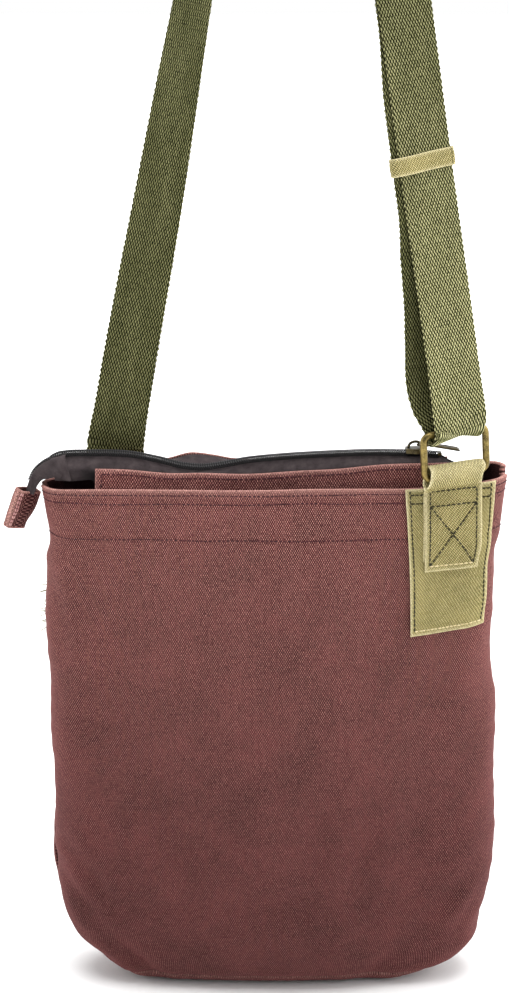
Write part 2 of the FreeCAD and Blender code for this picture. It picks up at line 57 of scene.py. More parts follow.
PANEL_LOW, PANEL_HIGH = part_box("front_panel")
BASE_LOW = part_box("base_panel")[0]
ORIGIN = np.array([(PANEL_LOW.x + PANEL_HIGH.x) / 2, 0.0, PANEL_HIGH.z])
MM = 0.001
DEPTH = (PANEL_HIGH.z - BASE_LOW.z) / MM        # from the rim down to the base
SEED = 11

UP = np.array([0.0, 0.0, 1.0])
ACROSS_Y = np.array([0.0, 1.0, 0.0])
CANVAS = 1.5                                    # thickness of the body's canvas
HEM = 36.0                                      # height of the folded hem below the rim
BASE_SEAM = 8.0                                 # height of the seam above the base
STITCH_ROWS = (3.9, 9.6, 33.4)                  # below the rim
WEBBING, WEBBING_WIDTH = 1.8, 38.0              # thickness and width
TAB = 1.5                                       # thickness of the ring tab's canvas
HALF_WALL = 370.0                               # length of one wall round the outline
REAR_SPAN = 400.0                               # sets the rear's ripples apart from the front's
CLOTH_WIDE = 372.0                              # cloth coordinates from seam to seam
SEAM_REACH = 380.0                              # turns a share of a wall into distance from its seam
SIDES = ((-1, "front"), (1, "rear"))


# ------------------------------------------------------------ small helpers

def place(points):
    return ORIGIN + MM * np.asarray(points, float)


def unit(vectors):
    return vectors / np.maximum(np.linalg.norm(vectors, axis=-1, keepdims=True), 1e-9)


def ease(low, high, value):
    """Smooth step from 0 at low to 1 at high."""
    part = np.clip((value - low) / (high - low), 0, 1)
    return part * part * (3 - 2 * part)


def bump(value, middle, width):
    return np.exp(-((value - middle) / width) ** 2)


def curve(value, stations):
    """Smooth curve through (position, value) stations that never overshoots."""
    xs, ys = np.array(stations, float).T
    steps = np.diff(ys) / np.diff(xs)
    slopes = np.concatenate([steps[:1], np.where(
        steps[1:] * steps[:-1] > 0,
        2 * steps[1:] * steps[:-1] / (steps[1:] + steps[:-1] + 1e-12), 0), steps[-1:]])
    value = np.clip(value, xs[0], xs[-1])
    i = np.clip(np.searchsorted(xs, value) - 1, 0, len(xs) - 2)
    gap = xs[i + 1] - xs[i]
    p = (value - xs[i]) / gap
    return ((1 + 2 * p) * (1 - p) ** 2 * ys[i] + p * (1 - p) ** 2 * gap * slopes[i]
            + p * p * (3 - 2 * p) * ys[i + 1] + p * p * (p - 1) * gap * slopes[i + 1])


class Ripple:
    """Seeded sum of waves over two directions, from about -1 to 1."""

    def __init__(self, seed, length, count=9, stretch=1.0):
        rng = np.random.default_rng(SEED + seed)
        angle = rng.uniform(0, math.pi, count)
        size = rng.uniform(0.6, 1.6, count) / length
        self.u = np.cos(angle) * size * 2 * math.pi
        self.v = np.sin(angle) * size * 2 * math.pi * stretch
        self.phase = rng.uniform(0, 2 * math.pi, count)
        self.scale = 1.6 / math.sqrt(count)

    def __call__(self, u, v):
        total = 0
        for a, b, c in zip(self.u, self.v, self.phase):
            total = total + np.sin(a * u + b * v + c)
        return total * self.scale / 2


# ------------------------------------------------------------ mesh helpers

class Build:
    """Collects points, faces, cloth coordinates and one shade value per point."""

    def __init__(self):
        self.points, self.faces, self.uvs, self.shades = [], [], [], []
        self.count = 0

    def add(self, points, faces, uv=None, shade=None):
        points = np.asarray(points, float).reshape(-1, 3)
        self.points.append(points)
        self.faces.extend([[i + self.count for i in face] for face in faces])
        self.uvs.append(points[:, :2] if uv is None else np.asarray(uv, float).reshape(-1, 2))
        blank = np.zeros(len(points))
        self.shades.append(blank if shade is None else np.asarray(shade, float).reshape(-1))
        self.count += len(points)
        return self

    def piece(self, name, material, body=None, nodes=(), slot=None, weld=False):
        mesh = bpy.data.meshes.new(name)
        mesh.from_pydata(place(np.concatenate(self.points)).tolist(), [], self.faces)
        uv = np.concatenate(self.uvs)
        corner = np.zeros(len(mesh.loops), int)
        mesh.loops.foreach_get("vertex_index", corner)
        layer = mesh.uv_layers.new(name="cloth")
        layer.data.foreach_set("uv", uv[corner].astype(np.float32).ravel())
        shade = mesh.attributes.new("shade", "FLOAT", "POINT")
        shade.data.foreach_set("value", np.concatenate(self.shades).astype(np.float32))
        mesh.polygons.foreach_set("use_smooth", [True] * len(mesh.polygons))
        if weld:
            work = bmesh.new()
            work.from_mesh(mesh)
            bmesh.ops.remove_doubles(work, verts=work.verts, dist=2e-6)
            bmesh.ops.recalc_face_normals(work, faces=work.faces)
            work.to_mesh(mesh)
            work.free()
        mesh.materials.append(material)
        mesh.validate()
        obj = bpy.data.objects.new(name, mesh)
        bpy.context.scene.collection.objects.link(obj)
        if body:
            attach(obj, body)
        if nodes:
            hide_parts(*nodes)
        return obj


def grid_faces(rows, cols, start=0, flip=False, wrap=False):
    span = cols if wrap else cols - 1
    faces = []
    for r in range(rows - 1):
        for c in range(span):
            a = start + r * cols + c
            b = start + r * cols + (c + 1) % cols
            quad = [a, b, b + cols, a + cols]
            faces.append(quad[::-1] if flip else quad)
    return faces


def shell(build, outer, inner, uv=None, shade=None, wrap=False):
    """Closed solid between two grids of (rows, columns, 3) points."""
    rows, cols = outer.shape[:2]
    n = rows * cols
    faces = grid_faces(rows, cols, 0, False, wrap) + grid_faces(rows, cols, n, True, wrap)
    span = cols if wrap else cols - 1
    for c in range(span):
        d = (c + 1) % cols
        faces.append([d, c, n + c, n + d])
        top = (rows - 1) * cols
        faces.append([top + c, top + d, n + top + d, n + top + c])
    if not wrap:
        for r in range(rows - 1):
            a, b = r * cols, (r + 1) * cols
            faces.append([a, b, n + b, n + a])
            a, b = a + cols - 1, b + cols - 1
            faces.append([b, a, n + a, n + b])
    points = np.concatenate([outer.reshape(-1, 3), inner.reshape(-1, 3)])
    both = None if uv is None else np.concatenate([uv.reshape(-1, 2)] * 2)
    shades = None if shade is None else np.concatenate([shade.reshape(-1)] * 2)
    return build.add(points, faces, both, shades)


def edged(low, high, step, thickness):
    """Positions from low to high with close ones at both ends, for a rounded edge."""
    lead = np.array([0, 0.04, 0.15, 0.32, 0.6]) * thickness
    count = max(2, int(round((high - low - 2 * lead[-1]) / step)) + 1)
    middle = np.linspace(low + lead[-1], high - lead[-1], count)[1:-1]
    return np.concatenate([low + lead, middle, (high - lead)[::-1]])


def leaf(build, surface, us, vs, thickness, lift=0.0, shade=None, round_v=True):
    """Closed sheet over surface(u, v, lift) with rounded edges."""
    U, V = np.meshgrid(us, vs)
    edge = np.minimum(U - us[0], us[-1] - U)
    if round_v:
        edge = np.minimum(edge, np.minimum(V - vs[0], vs[-1] - V))
    half = thickness / 2
    near = np.clip(edge / half, 0, 1)
    half = half * np.sqrt(np.clip(1 - (1 - near) ** 2, 0.003, 1))
    outer = surface(U, V, lift + half)
    inner = surface(U, V, lift - half)
    wear = np.exp(-edge / 0.9) if shade is None else shade(U, V, edge)
    return shell(build, outer, inner, np.stack([U, V], -1), wear)


def tubes(build, paths, sides, radii, outward, closed=False, squash=1.0, shade=None):
    """Round rods along paths of (count, steps, 3) points; outward gives each ring's top."""
    count, steps = paths.shape[:2]
    if closed:
        along = np.roll(paths, -1, 1) - np.roll(paths, 1, 1)
    else:
        along = np.gradient(paths, axis=1)
    along = unit(along)
    outward = np.broadcast_to(outward, paths.shape)
    side = unit(np.cross(along, outward))
    top = np.cross(side, along)
    angle = np.linspace(0, 2 * math.pi, sides, endpoint=False)
    radii = np.broadcast_to(radii, (count, steps))[..., None, None]
    ring = (side[:, :, None] * np.cos(angle)[:, None]
            + top[:, :, None] * np.sin(angle)[:, None] * squash)
    points = paths[:, :, None] + ring * radii
    faces = []
    for k in range(count):
        start = k * steps * sides
        for r in range(steps if closed else steps - 1):
            for c in range(sides):
                a = start + r * sides + c
                b = start + r * sides + (c + 1) % sides
                e = start + ((r + 1) % steps) * sides + c
                f = start + ((r + 1) % steps) * sides + (c + 1) % sides
                faces.append([a, b, f, e])
        if not closed:
            faces.append([start + c for c in range(sides)][::-1])
            faces.append([start + (steps - 1) * sides + c for c in range(sides)])
    length = np.concatenate([np.zeros((count, 1)), np.cumsum(
        np.linalg.norm(np.diff(paths, axis=1), axis=2), 1)], 1)
    uv = np.stack(np.broadcast_arrays(angle * 0.3, length[..., None]), -1)
    shades = None if shade is None else np.broadcast_to(shade, (count, steps))[..., None] + angle * 0
    return build.add(points, faces, uv, shades)


STITCH_SHAPE = np.array([-0.5, -0.42, -0.22, 0.0, 0.22, 0.42, 0.5])
STITCH_DIP = np.array([-1.0, -0.35, 0.25, 0.4, 0.25, -0.35, -1.0])
STITCH_SIZE = np.array([0.45, 0.85, 1.0, 1.0, 1.0, 0.85, 0.45])


def stitches(build, surface, points, pitch=3.0, length=2.3, radius=0.45, lift=0.0, seed=0):
    """Threads along points of (u, v) on a surface, whose ends dip into the cloth."""
    rng = np.random.default_rng(SEED + seed)
    points = np.asarray(points, float)
    run = np.concatenate([[0], np.cumsum(np.linalg.norm(np.diff(points, axis=0), axis=1))])
    count = max(1, int(run[-1] // pitch))
    middle = (np.arange(count) + 0.5) * run[-1] / count + rng.normal(0, 0.12, count)
    along = STITCH_SHAPE * length * rng.uniform(0.9, 1.1, (count, 1))
    at = np.clip(middle[:, None] + along, 0, run[-1])
    u = np.interp(at, run, points[:, 0]) + rng.normal(0, 0.06, (count, 1))
    v = np.interp(at, run, points[:, 1]) + rng.normal(0, 0.06, (count, 1))
    paths = surface(u, v, lift + STITCH_DIP * radius)
    outward = unit(surface(u, v, lift + 1.0) - surface(u, v, lift))
    tubes(build, paths, 6, radius * STITCH_SIZE, outward, squash=0.8,
          shade=rng.uniform(0, 1, (count, 1)))
    return build


# --------------------------------------------------------- the body's form

# height above the base, half width, half depth, end radius of the outline
LEVELS = np.array([
    (0, 92, 25, 22), (3, 105, 31, 26), (8, 117, 36, 29), (16, 128, 41, 32),
    (30, 139, 46, 34), (55, 148, 49, 35), (100, 152, 50, 35), (170, 152, 48, 34),
    (235, 150, 44, 32), (300, 150, 37, 26), (DEPTH, 153, 30, 20)])


def level(h):
    h = np.clip(h, 0, DEPTH)
    return [curve(h, LEVELS[:, [0, k]]) for k in (1, 2, 3)]


def arcs(a, b, r):
    """Long arc's centre offset and radius, and the sweeps of end and half long arc."""
    reach, squat = a - r, b - r
    rise = (reach ** 2 - squat ** 2) / (2 * squat)
    tight = np.arctan2(rise, reach)
    return reach, rise, rise + b, tight, math.pi / 2 - tight


def share_at(x, h):
    """Share of the front's length, 0 at the left seam to 1 at the right, at a given x."""
    a, b, r = level(h)
    reach, rise, big, tight, wide = arcs(a, b, r)
    half = 2 * r * tight + 2 * big * wide
    touch = reach + r * np.cos(tight)
    far = np.abs(x) > touch
    on_end = half - r * np.arccos(np.clip((np.abs(x) - reach) / r, -1, 1))
    on_long = r * tight + big * (np.arcsin(np.clip(np.abs(x) / big, -1, 1)) + wide)
    d = np.where(far, on_end, on_long)
    return np.where(x >= 0, d, half - d) / half


def form(t, h):
    """Smooth body surface; t runs 0 to 1 along the front and on to 2 along the rear."""
    t, h = np.broadcast_arrays(np.asarray(t, float), np.asarray(h, float))
    t = np.mod(t, 2)
    a, b, r = level(h)
    reach, rise, big, tight, wide = arcs(a, b, r)
    half = 2 * r * tight + 2 * big * wide
    rear = t > 1
    d = np.where(rear, 2 - t, t) * half
    first = d < r * tight
    last = d > r * tight + 2 * big * wide
    angle = np.where(first, math.pi + d / r, (d - half) / r)
    swing = (d - r * tight) / big - wide
    round_end = np.where(first, -reach, reach) + r * np.cos(angle)
    x = np.where(first | last, round_end, big * np.sin(swing))
    y = np.where(first | last, r * np.sin(angle), rise - big * np.cos(swing))
    y = np.where(rear, -y, y)
    shrink = np.where(h < 0, 1 + h, 1.0)
    z = np.maximum(h, 0) - DEPTH + np.where(h < 0, 1.5 * (1 - shrink ** 2), 0)
    return np.stack([x * shrink, y * shrink, z], -1)


SWELL = Ripple(1, 110)
WAVES = Ripple(2, 42, stretch=0.6)
SMALL = Ripple(3, 17)
PUCKER = Ripple(4, 9, stretch=0.15)


# grooves across the two walls: the ends' (x, height), then depth and width
FRONT_FOLDS = [
    ((-125, 62), (122, 69), 1.5, 7), ((-141, 104), (-104, 58), 2.4, 6),
    ((-146, 84), (-112, 40), 2.0, 6), ((140, 96), (112, 52), 2.2, 7), ((143, 76), (121, 34), 1.6, 5),
    ((-108, 34), (-78, 6), 3.2, 6), ((88, 30), (64, 4), 2.2, 7), ((-147, 300), (-138, 236), 1.6, 4),
    ((-140, 286), (-133, 246), 1.1, 3.5), ((-60, 190), (20, 176), 0.9, 9),
    ((30, 238), (110, 214), 0.8, 9)]
REAR_FOLDS = [
    ((-110, 74), (118, 60), 1.6, 8), ((140, 110), (106, 62), 2.2, 7),
    ((-142, 96), (-110, 50), 2.0, 7), ((-40, 220), (60, 196), 1.0, 10)]


def fold(x, h, start, end, depth, width):
    """Soft groove along a line between two (x, height) points."""
    line = np.subtract(end, start)
    part = np.clip(((x - start[0]) * line[0] + (h - start[1]) * line[1]) / (line @ line), 0, 1)
    gap = np.hypot(x - start[0] - part * line[0], h - start[1] - part * line[1])
    fade = np.sin(math.pi * np.clip(0.12 + 0.8 * part, 0, 1))
    return -depth * fade * (bump(gap, 0, width) - 0.45 * bump(gap, 2 * width, width))


def relief(t, h):
    """How far the worn canvas stands out from the smooth form."""
    p = form(t, h)
    x, y = p[..., 0], p[..., 1]
    front = y < 0
    span = np.where(front, x, REAR_SPAN - x)
    low = ease(0, 40, h)
    out = 1.5 * SWELL(span, h) * low + 0.85 * WAVES(span, h) * low + 0.22 * SMALL(span, h) * low
    hem = ease(DEPTH - 62, DEPTH - 36, h)
    out = out * (1 - 0.55 * hem)
    for row in STITCH_ROWS:
        near = bump(h, DEPTH - row, 2.2)
        out = out - near * (0.32 + 0.28 * PUCKER(span, h))
    out = out + 0.35 * PUCKER(span * 0.8 + 90, h) * bump(h, DEPTH - 22, 12)
    creases = [sum(fold(x, h, *groove) for groove in grooves) for grooves in (FRONT_FOLDS, REAR_FOLDS)]
    out = out + np.where(front, *creases)
    seam = np.abs(np.mod(t + 0.5, 1) - 0.5) * SEAM_REACH
    out = out - 1.1 * bump(seam, 0, 1.6) + 0.5 * bump(seam, 4.5, 2.2)
    out = out - 1.0 * bump(h, BASE_SEAM, 1.6) + 0.35 * bump(h, BASE_SEAM + 4, 2.5)
    return np.where(h < 0, -0.4 + 0.3 * SMALL(x, y), out)


def rise_at(x, y, h):
    """How far the mouth's edge is pulled up or sags, fading downwards."""
    depth = DEPTH - h
    slow = np.exp(-np.maximum(depth, 0) / 120)
    quick = np.exp(-np.maximum(depth, 0) / 45)
    pull = np.where(y > 0, 6.5 * quick + 3.0 * slow, 5.6 * slow - 1.4 * quick)
    right = ease(84, 152, x) * pull
    left = -2.7 * ease(-40, -150, x) * quick
    rear = np.where(y > 0, 3.0 * bump(x, -106, 40) - 1.5 * bump(x, 20, 60), 0) * quick
    return right * ease(30, -30, np.abs(y) - 40) + left + rear + 0.5 * np.sin(x / 23) * quick


# height above the base, and how far that side of the outline stands out
LEFT_SIDE = [(0, -4), (8, -5), (17, -6), (26, -3.4), (35, -1.5), (60, -1.4), (108, -2.2),
             (152, -5), (196, -0.7), (240, 0), (300, 0), (318, -3.2), (331, -2.5), (DEPTH, 0)]
RIGHT_SIDE = [(0, 1), (8, 5.5), (17, 8.6), (26, 8.6), (35, 6), (45, 2.8), (63, 2.7), (108, 3.2),
              (152, 2), (196, 2), (240, -2), (299, 0), (318, 3.4), (DEPTH, 3.6)]


def lean_at(x, h):
    """Sideways slump of the two ends of the outline."""
    near_end = ease(0.6, 1.0, np.abs(x) / level(h)[0])
    return np.where(x < 0, -curve(h, LEFT_SIDE), curve(h, RIGHT_SIDE)) * near_end


def wall(t, z, lift=0.0):
    """The worn canvas at height z from the rim, moved out by lift."""
    h = z + DEPTH
    t, h = np.broadcast_arrays(np.asarray(t, float), np.asarray(h, float))
    base = form(t, h)
    dt, dh = 0.004, np.where(h < 0, 0.01, 0.6)
    over = np.where(h > DEPTH - 0.7, 0, dh)
    across = form(t + dt, h) - form(t - dt, h)
    climb = form(t, h + over) - form(t, h - dh)
    normal = unit(np.cross(across, climb))
    p = base + normal * (relief(t, h) + lift)[..., None]
    p[..., 2] += rise_at(base[..., 0], base[..., 1], h)
    p[..., 0] += lean_at(base[..., 0], np.clip(h, 0, DEPTH))
    return p


def wall_x(x, z, lift=0.0):
    """The front wall at a given x."""
    return wall(share_at(x, z + DEPTH), z, lift)


def wall_back(x, z, lift=0.0):
    """The rear wall at a given x."""
    return wall(2 - share_at(x, z + DEPTH), z, lift)


# ---------------------------------------------------------------- materials

def rgb(r, g, b):
    """Linear colour from the eye's 0 to 255 scale."""
    return tuple(((c / 255 + 0.055) / 1.055) ** 2.4 if c > 10 else c / 255 / 12.92
                 for c in (r, g, b)) + (1.0,)


class Nodes:
    """Short way to write a node tree."""

    def __init__(self, name):
        self.material = bpy.data.materials.new(name)
        self.material.use_nodes = True
        self.tree = self.material.node_tree
        self.shader = self.tree.nodes["Principled BSDF"]

    def node(self, kind, values=(), **settings):
        made = self.tree.nodes.new(kind)
        for key, value in settings.items():
            setattr(made, key, value)
        for key, value in dict(values).items():
            self.feed(made.inputs[key], value)
        return made

    def feed(self, socket, value):
        if isinstance(value, bpy.types.NodeSocket):
            self.tree.links.new(value, socket)
        else:
            socket.default_value = value

    def math(self, operation, a, b=0.0, c=0.0, clamp=False):
        made = self.node("ShaderNodeMath", operation=operation, use_clamp=clamp)
        for socket, value in zip(made.inputs, (a, b, c)):
            self.feed(socket, value)
        return made.outputs[0]

    def mix(self, share, a, b):
        made = self.node("ShaderNodeMix", data_type="RGBA")
        for name, value in (("Factor_Float", share), ("A_Color", a), ("B_Color", b)):
            socket = [s for s in made.inputs if s.identifier == name][0]
            self.feed(socket, value)
        return [s for s in made.outputs if s.identifier == "Result_Color"][0]

    def cloth(self):
        return self.node("ShaderNodeUVMap", uv_map="cloth").outputs[0]

    def space(self):
        return self.node("ShaderNodeTexCoord").outputs["Object"]

    def shade(self):
        return self.node("ShaderNodeAttribute", attribute_name="shade").outputs["Fac"]

    def scaled(self, vector, x, y):
        made = self.node("ShaderNodeMapping", {"Vector": vector})
        made.inputs["Scale"].default_value = (x, y, 1.0)
        return made.outputs[0]

    def noise(self, vector, scale, detail=2.0, rough=0.5, warp=0.0):
        made = self.node("ShaderNodeTexNoise", {
            "Vector": vector, "Scale": scale, "Detail": detail, "Roughness": rough,
            "Distortion": warp})
        return made.outputs["Fac"]

    def ramp(self, value, low, high, to_low=0.0, to_high=1.0):
        made = self.node("ShaderNodeMapRange", {
            "Value": value, "From Min": low, "From Max": high,
            "To Min": to_low, "To Max": to_high})
        return made.outputs[0]

    def bump(self, height, distance, strength=1.0, normal=None):
        values = {"Height": height, "Distance": distance, "Strength": strength}
        if normal is not None:
            values["Normal"] = normal
        return self.node("ShaderNodeBump", values).outputs[0]

    def finish(self, colour, rough, normal=None, sheen=0.0, sheen_tint=None, metal=0.0, specular=0.5):
        s = self.shader.inputs
        self.feed(s["Base Color"], colour)
        self.feed(s["Roughness"], rough)
        s["Metallic"].default_value = metal
        s["Specular IOR Level"].default_value = specular
        s["Sheen Weight"].default_value = sheen
        s["Sheen Roughness"].default_value = 0.45
        if sheen_tint:
            s["Sheen Tint"].default_value = sheen_tint
        if normal is not None:
            self.feed(s["Normal"], normal)
        return self.material


BLACK = (0.0, 0.0, 0.0, 1)
KNOT_PITCH, KNOT_ROW = 1.68, 1.27               # the canvas weave along a row and between rows


def canvas(name, deep, mid, pale, worn, twill=False, sheen=0.3, crisp=1.0, low_shade=0.0):
    """Washed cotton canvas: yarn knots, slubs, cloudy fading, pale worn edges and painted shade.

    crisp sets how clear its specks are, low_shade how much painted shade darkens it towards the base."""
    n = Nodes(name)
    uv = n.cloth()
    wobble = n.noise(uv, 0.35, 2, 0.5)
    parts = n.node("ShaderNodeSeparateXYZ", {"Vector": uv}).outputs
    u = n.math("ADD", parts[0], n.math("MULTIPLY", wobble, 0.9))
    v = n.math("ADD", parts[1], n.math("MULTIPLY", wobble, 0.7))
    if twill:
        slant = n.math("ADD", n.math("MULTIPLY", u, 4.4), n.math("MULTIPLY", v, 4.0))
        across = n.math("SUBTRACT", n.math("MULTIPLY", u, 3.0), n.math("MULTIPLY", v, 2.2))
    else:
        slant = n.math("MULTIPLY", u, 2 * math.pi / KNOT_PITCH)
        across = n.math("MULTIPLY", v, math.pi / KNOT_ROW)
    first, second = n.math("COSINE", slant), n.math("COSINE", across)
    if twill:
        knots = n.math("ADD", first, n.math("MULTIPLY", second, 0.6))
    else:
        knots = n.math("MULTIPLY", first, second)
    weave = n.ramp(knots, -1.0, 1.0)
    slub_u = n.noise(n.scaled(uv, 0.10, 1.9), 1.0, 3, 0.65)
    slub_v = n.noise(n.scaled(uv, 1.9, 0.12), 1.0, 3, 0.65)
    slub = n.math("MULTIPLY", n.math("ADD", slub_u, slub_v), 0.5)
    speck = n.noise(uv, 0.95, 2, 0.7)
    cloud = n.noise(uv, 0.022, 4, 0.6, 0.3)
    blotch = n.noise(uv, 0.12, 4, 0.65)
    tone = n.math("ADD", n.math("MULTIPLY", n.ramp(cloud, 0.3, 0.7), 0.50),
                  n.math("MULTIPLY", n.ramp(blotch, 0.3, 0.7), 0.30))
    tone = n.math("ADD", tone, n.math("MULTIPLY", n.ramp(slub, 0.36, 0.64), 0.22), clamp=True)
    base = n.mix(tone, deep, mid)
    speckle = n.noise(uv, 0.45, 3, 0.75)
    dots = n.math("MULTIPLY", n.math("ADD", speck, speckle), 0.5)
    lit = n.math("MULTIPLY", n.ramp(weave, 0.46, 0.9), n.ramp(dots, 0.36, 0.60))
    height = n.node("ShaderNodeSeparateXYZ", {"Vector": n.space()}).outputs[2]
    crispness = n.ramp(height, ORIGIN[2] - 0.02, ORIGIN[2] - 0.25, crisp, 0.55 * crisp)
    base = n.mix(n.math("MULTIPLY", lit, crispness, clamp=True), base, pale)
    # painted shade: the gaps between the weave's knots darken towards black
    dark = n.math("MULTIPLY", n.ramp(weave, 0.58, 0.16), crispness, clamp=True)
    base = n.mix(dark, base, n.mix(0.72, deep, BLACK))
    # painted shade: the canvas grows darker towards the base, by low_shade
    if low_shade:
        low = n.ramp(height, ORIGIN[2] - 0.01, ORIGIN[2] - 0.30, 0.0, low_shade)
        base = n.mix(low, base, n.mix(0.85, deep, BLACK))
    edge = n.math("MULTIPLY", n.shade(), n.ramp(n.noise(uv, 0.9, 3, 0.7), 0.3, 0.62), clamp=True)
    base = n.mix(edge, base, worn)
    # painted shade: a negative shade attribute darkens the cloth to near-black, inside the bag and on
    # the end tab's shaded face
    base = n.mix(n.ramp(n.shade(), -0.1, -1.0), base, n.mix(0.8, deep, BLACK))
    normal = n.bump(n.math("ADD", weave, n.math("MULTIPLY", slub, 0.8)), 0.00030, 0.9)
    normal = n.bump(n.noise(uv, 0.22, 3, 0.6), 0.0011, 0.35, normal)
    return n.finish(base, n.ramp(slub, 0.3, 0.7, 0.95, 0.82), normal, sheen, mid, specular=0.12)


def webbing_material(name, gap, deep, mid, pale):
    """Coarse cotton webbing: the knots are modelled and also painted, pale tops as painted highlight
    and near-black gaps as painted shade; the yarn's twist is a bump.
    """
    n = Nodes(name)
    uv = n.cloth()
    high = n.shade()
    yarn = n.noise(n.scaled(uv, 3.4, 1.1), 1.0, 3, 0.7)
    cloud = n.noise(n.scaled(uv, 0.05, 0.012), 1.0, 3, 0.6)
    patch = n.noise(uv, 0.35, 3, 0.6)
    # the yarn is paler where this attribute is high: on the right run, most towards its lower end
    fade = n.node("ShaderNodeAttribute", attribute_name="fade").outputs["Fac"]
    tone = n.math("ADD", n.math("MULTIPLY", n.ramp(cloud, 0.35, 0.65), 0.22),
                  n.math("MULTIPLY", patch, 0.22))
    tone = n.math("ADD", tone, n.math("MULTIPLY", fade, 0.62), clamp=True)
    knot = n.mix(tone, mid, pale)
    # painted shade: low places between the knots take the near-black gap colour
    base = n.mix(n.ramp(high, 0.22, 0.50), gap, n.mix(n.math("MULTIPLY", tone, 0.7), deep, mid))
    base = n.mix(n.ramp(high, 0.45, 0.85), base, knot)
    # painted highlight: pale yarn on the knots' tops
    bright = n.math("MULTIPLY", n.ramp(yarn, 0.45, 0.72), n.ramp(high, 0.55, 1.0, 0.0, 0.65))
    bright = n.math("MULTIPLY", bright, n.math("ADD", fade, 0.25, clamp=True))
    base = n.mix(bright, base, rgb(226, 216, 176))
    normal = n.bump(yarn, 0.00025, 0.7)
    return n.finish(base, 0.9, normal, 0.2, mid, specular=0.1)


def thread_material(name, dark, light):
    n = Nodes(name)
    twist = n.node("ShaderNodeTexWave", {"Vector": n.cloth(), "Scale": 1.6, "Distortion": 1.0},
                   bands_direction="DIAGONAL").outputs["Fac"]
    tone = n.math("ADD", n.math("MULTIPLY", n.shade(), 0.6), n.math("MULTIPLY", twist, 0.4),
                  clamp=True)
    ply = n.bump(twist, 0.0001, 0.6)
    return n.finish(n.mix(tone, dark, light), 0.62, ply, 0.2, light, specular=0.3)


def brass_material(name, body, bright, dark):
    """Antique brass: warm metal with dark lacquer in patches and rubbed highlights."""
    n = Nodes(name)
    where = n.space()
    cloud = n.noise(where, 190, 4, 0.6)
    grain = n.noise(where, 1400, 3, 0.6)
    base = n.mix(n.ramp(cloud, 0.35, 0.68), dark, body)
    base = n.mix(n.math("MULTIPLY", n.ramp(grain, 0.5, 0.75), 0.4, clamp=True), base, bright)
    rough = n.ramp(n.math("ADD", cloud, n.math("MULTIPLY", grain, 0.4)), 0.4, 0.95, 0.24, 0.46)
    return n.finish(base, rough, n.bump(grain, 0.00004, 0.5), metal=1.0)


def tape_material(name, deep, pale):
    """Woven polyester tape: fine herringbone ribs."""
    n = Nodes(name)
    uv = n.cloth()
    parts = n.node("ShaderNodeSeparateXYZ", {"Vector": uv}).outputs
    rib = n.math("SINE", n.math("MULTIPLY", n.math("ADD", parts[0], parts[1]), 9.0))
    cross = n.math("SINE", n.math("MULTIPLY", n.math("SUBTRACT", parts[1], parts[0]), 7.0))
    weave = n.ramp(n.math("MULTIPLY", rib, cross), -1, 1)
    cloud = n.noise(uv, 0.16, 4, 0.6)
    dust = n.noise(uv, 2.4, 3, 0.7)
    clouds = n.math("MULTIPLY", n.ramp(cloud, 0.3, 0.7), 0.5)
    tone = n.math("ADD", n.math("MULTIPLY", weave, 0.35), clouds, clamp=True)
    base = n.mix(tone, deep, pale)
    base = n.mix(n.ramp(dust, 0.62, 0.8, 0, 0.3), base, rgb(128, 112, 112))
    # the shade attribute takes the tape towards near-black: darker next to the chain, and painted
    # shade on the lower tape at the left end
    base = n.mix(n.shade(), base, rgb(6, 5, 6))
    return n.finish(base, 0.85, n.bump(weave, 0.00015, 0.6), 0.3, pale, specular=0.2)


def coil_material(name):
    n = Nodes(name)
    dust = n.noise(n.space(), 900, 3, 0.6)
    base = n.mix(n.ramp(dust, 0.45, 0.75), rgb(4, 4, 5), rgb(15, 14, 16))
    # painted highlight: pale ticks on the teeth's tops, where the shade attribute is high
    tooth_highlight = n.math("MULTIPLY", n.shade(), n.ramp(dust, 0.3, 0.6, 0.2, 0.7), clamp=True)
    base = n.mix(tooth_highlight, base, rgb(96, 94, 95))
    return n.finish(base, n.ramp(dust, 0.3, 0.7, 0.5, 0.7), n.bump(dust, 0.00005, 0.4), specular=0.15)


# low_shade paints shade on the body canvas towards the base
BURGUNDY = canvas("burgundy_canvas", rgb(50, 18, 22), rgb(114, 59, 60), rgb(212, 154, 142),
                  rgb(206, 158, 147), sheen=0.7, low_shade=0.34)
OLIVE = canvas("olive_canvas", rgb(82, 78, 28), rgb(186, 172, 110), rgb(226, 212, 162),
               rgb(236, 224, 182), twill=True, crisp=0.8)
LINING = canvas("lining_cloth", rgb(22, 17, 19), rgb(46, 36, 39), rgb(66, 54, 57), rgb(70, 58, 60),
                crisp=0.4)
# the first colour, gap, is painted shade between the knots
WEB = webbing_material("olive_webbing", rgb(5, 6, 2), rgb(34, 36, 13), rgb(86, 89, 46),
                       rgb(206, 202, 150))
TAPE = tape_material("zip_tape", rgb(28, 23, 25), rgb(84, 74, 75))
COIL = coil_material("zip_coil")
BRASS = brass_material("antique_brass", rgb(150, 132, 78), rgb(205, 188, 130), rgb(72, 60, 34))
DARK_BRASS = brass_material("dark_brass", rgb(92, 82, 58), rgb(150, 138, 104), rgb(38, 33, 24))
FLOOR_TONES = (0.93, 0.93, 0.93, 1), (0.96, 0.96, 0.96, 1)
THREAD = thread_material("burgundy_thread", rgb(38, 4, 14), rgb(74, 16, 28))
OLIVE_THREAD = thread_material("olive_thread", rgb(20, 18, 4), rgb(54, 48, 20))
PALE_THREAD = thread_material("pale_thread", rgb(196, 178, 128), rgb(226, 212, 170))
FRAY_THREAD = thread_material("frayed_thread", rgb(52, 54, 20), rgb(150, 142, 88))
PINK_THREAD = thread_material("pink_thread", rgb(176, 120, 120), rgb(212, 164, 158))


# ----------------------------------------------------------- body and lining

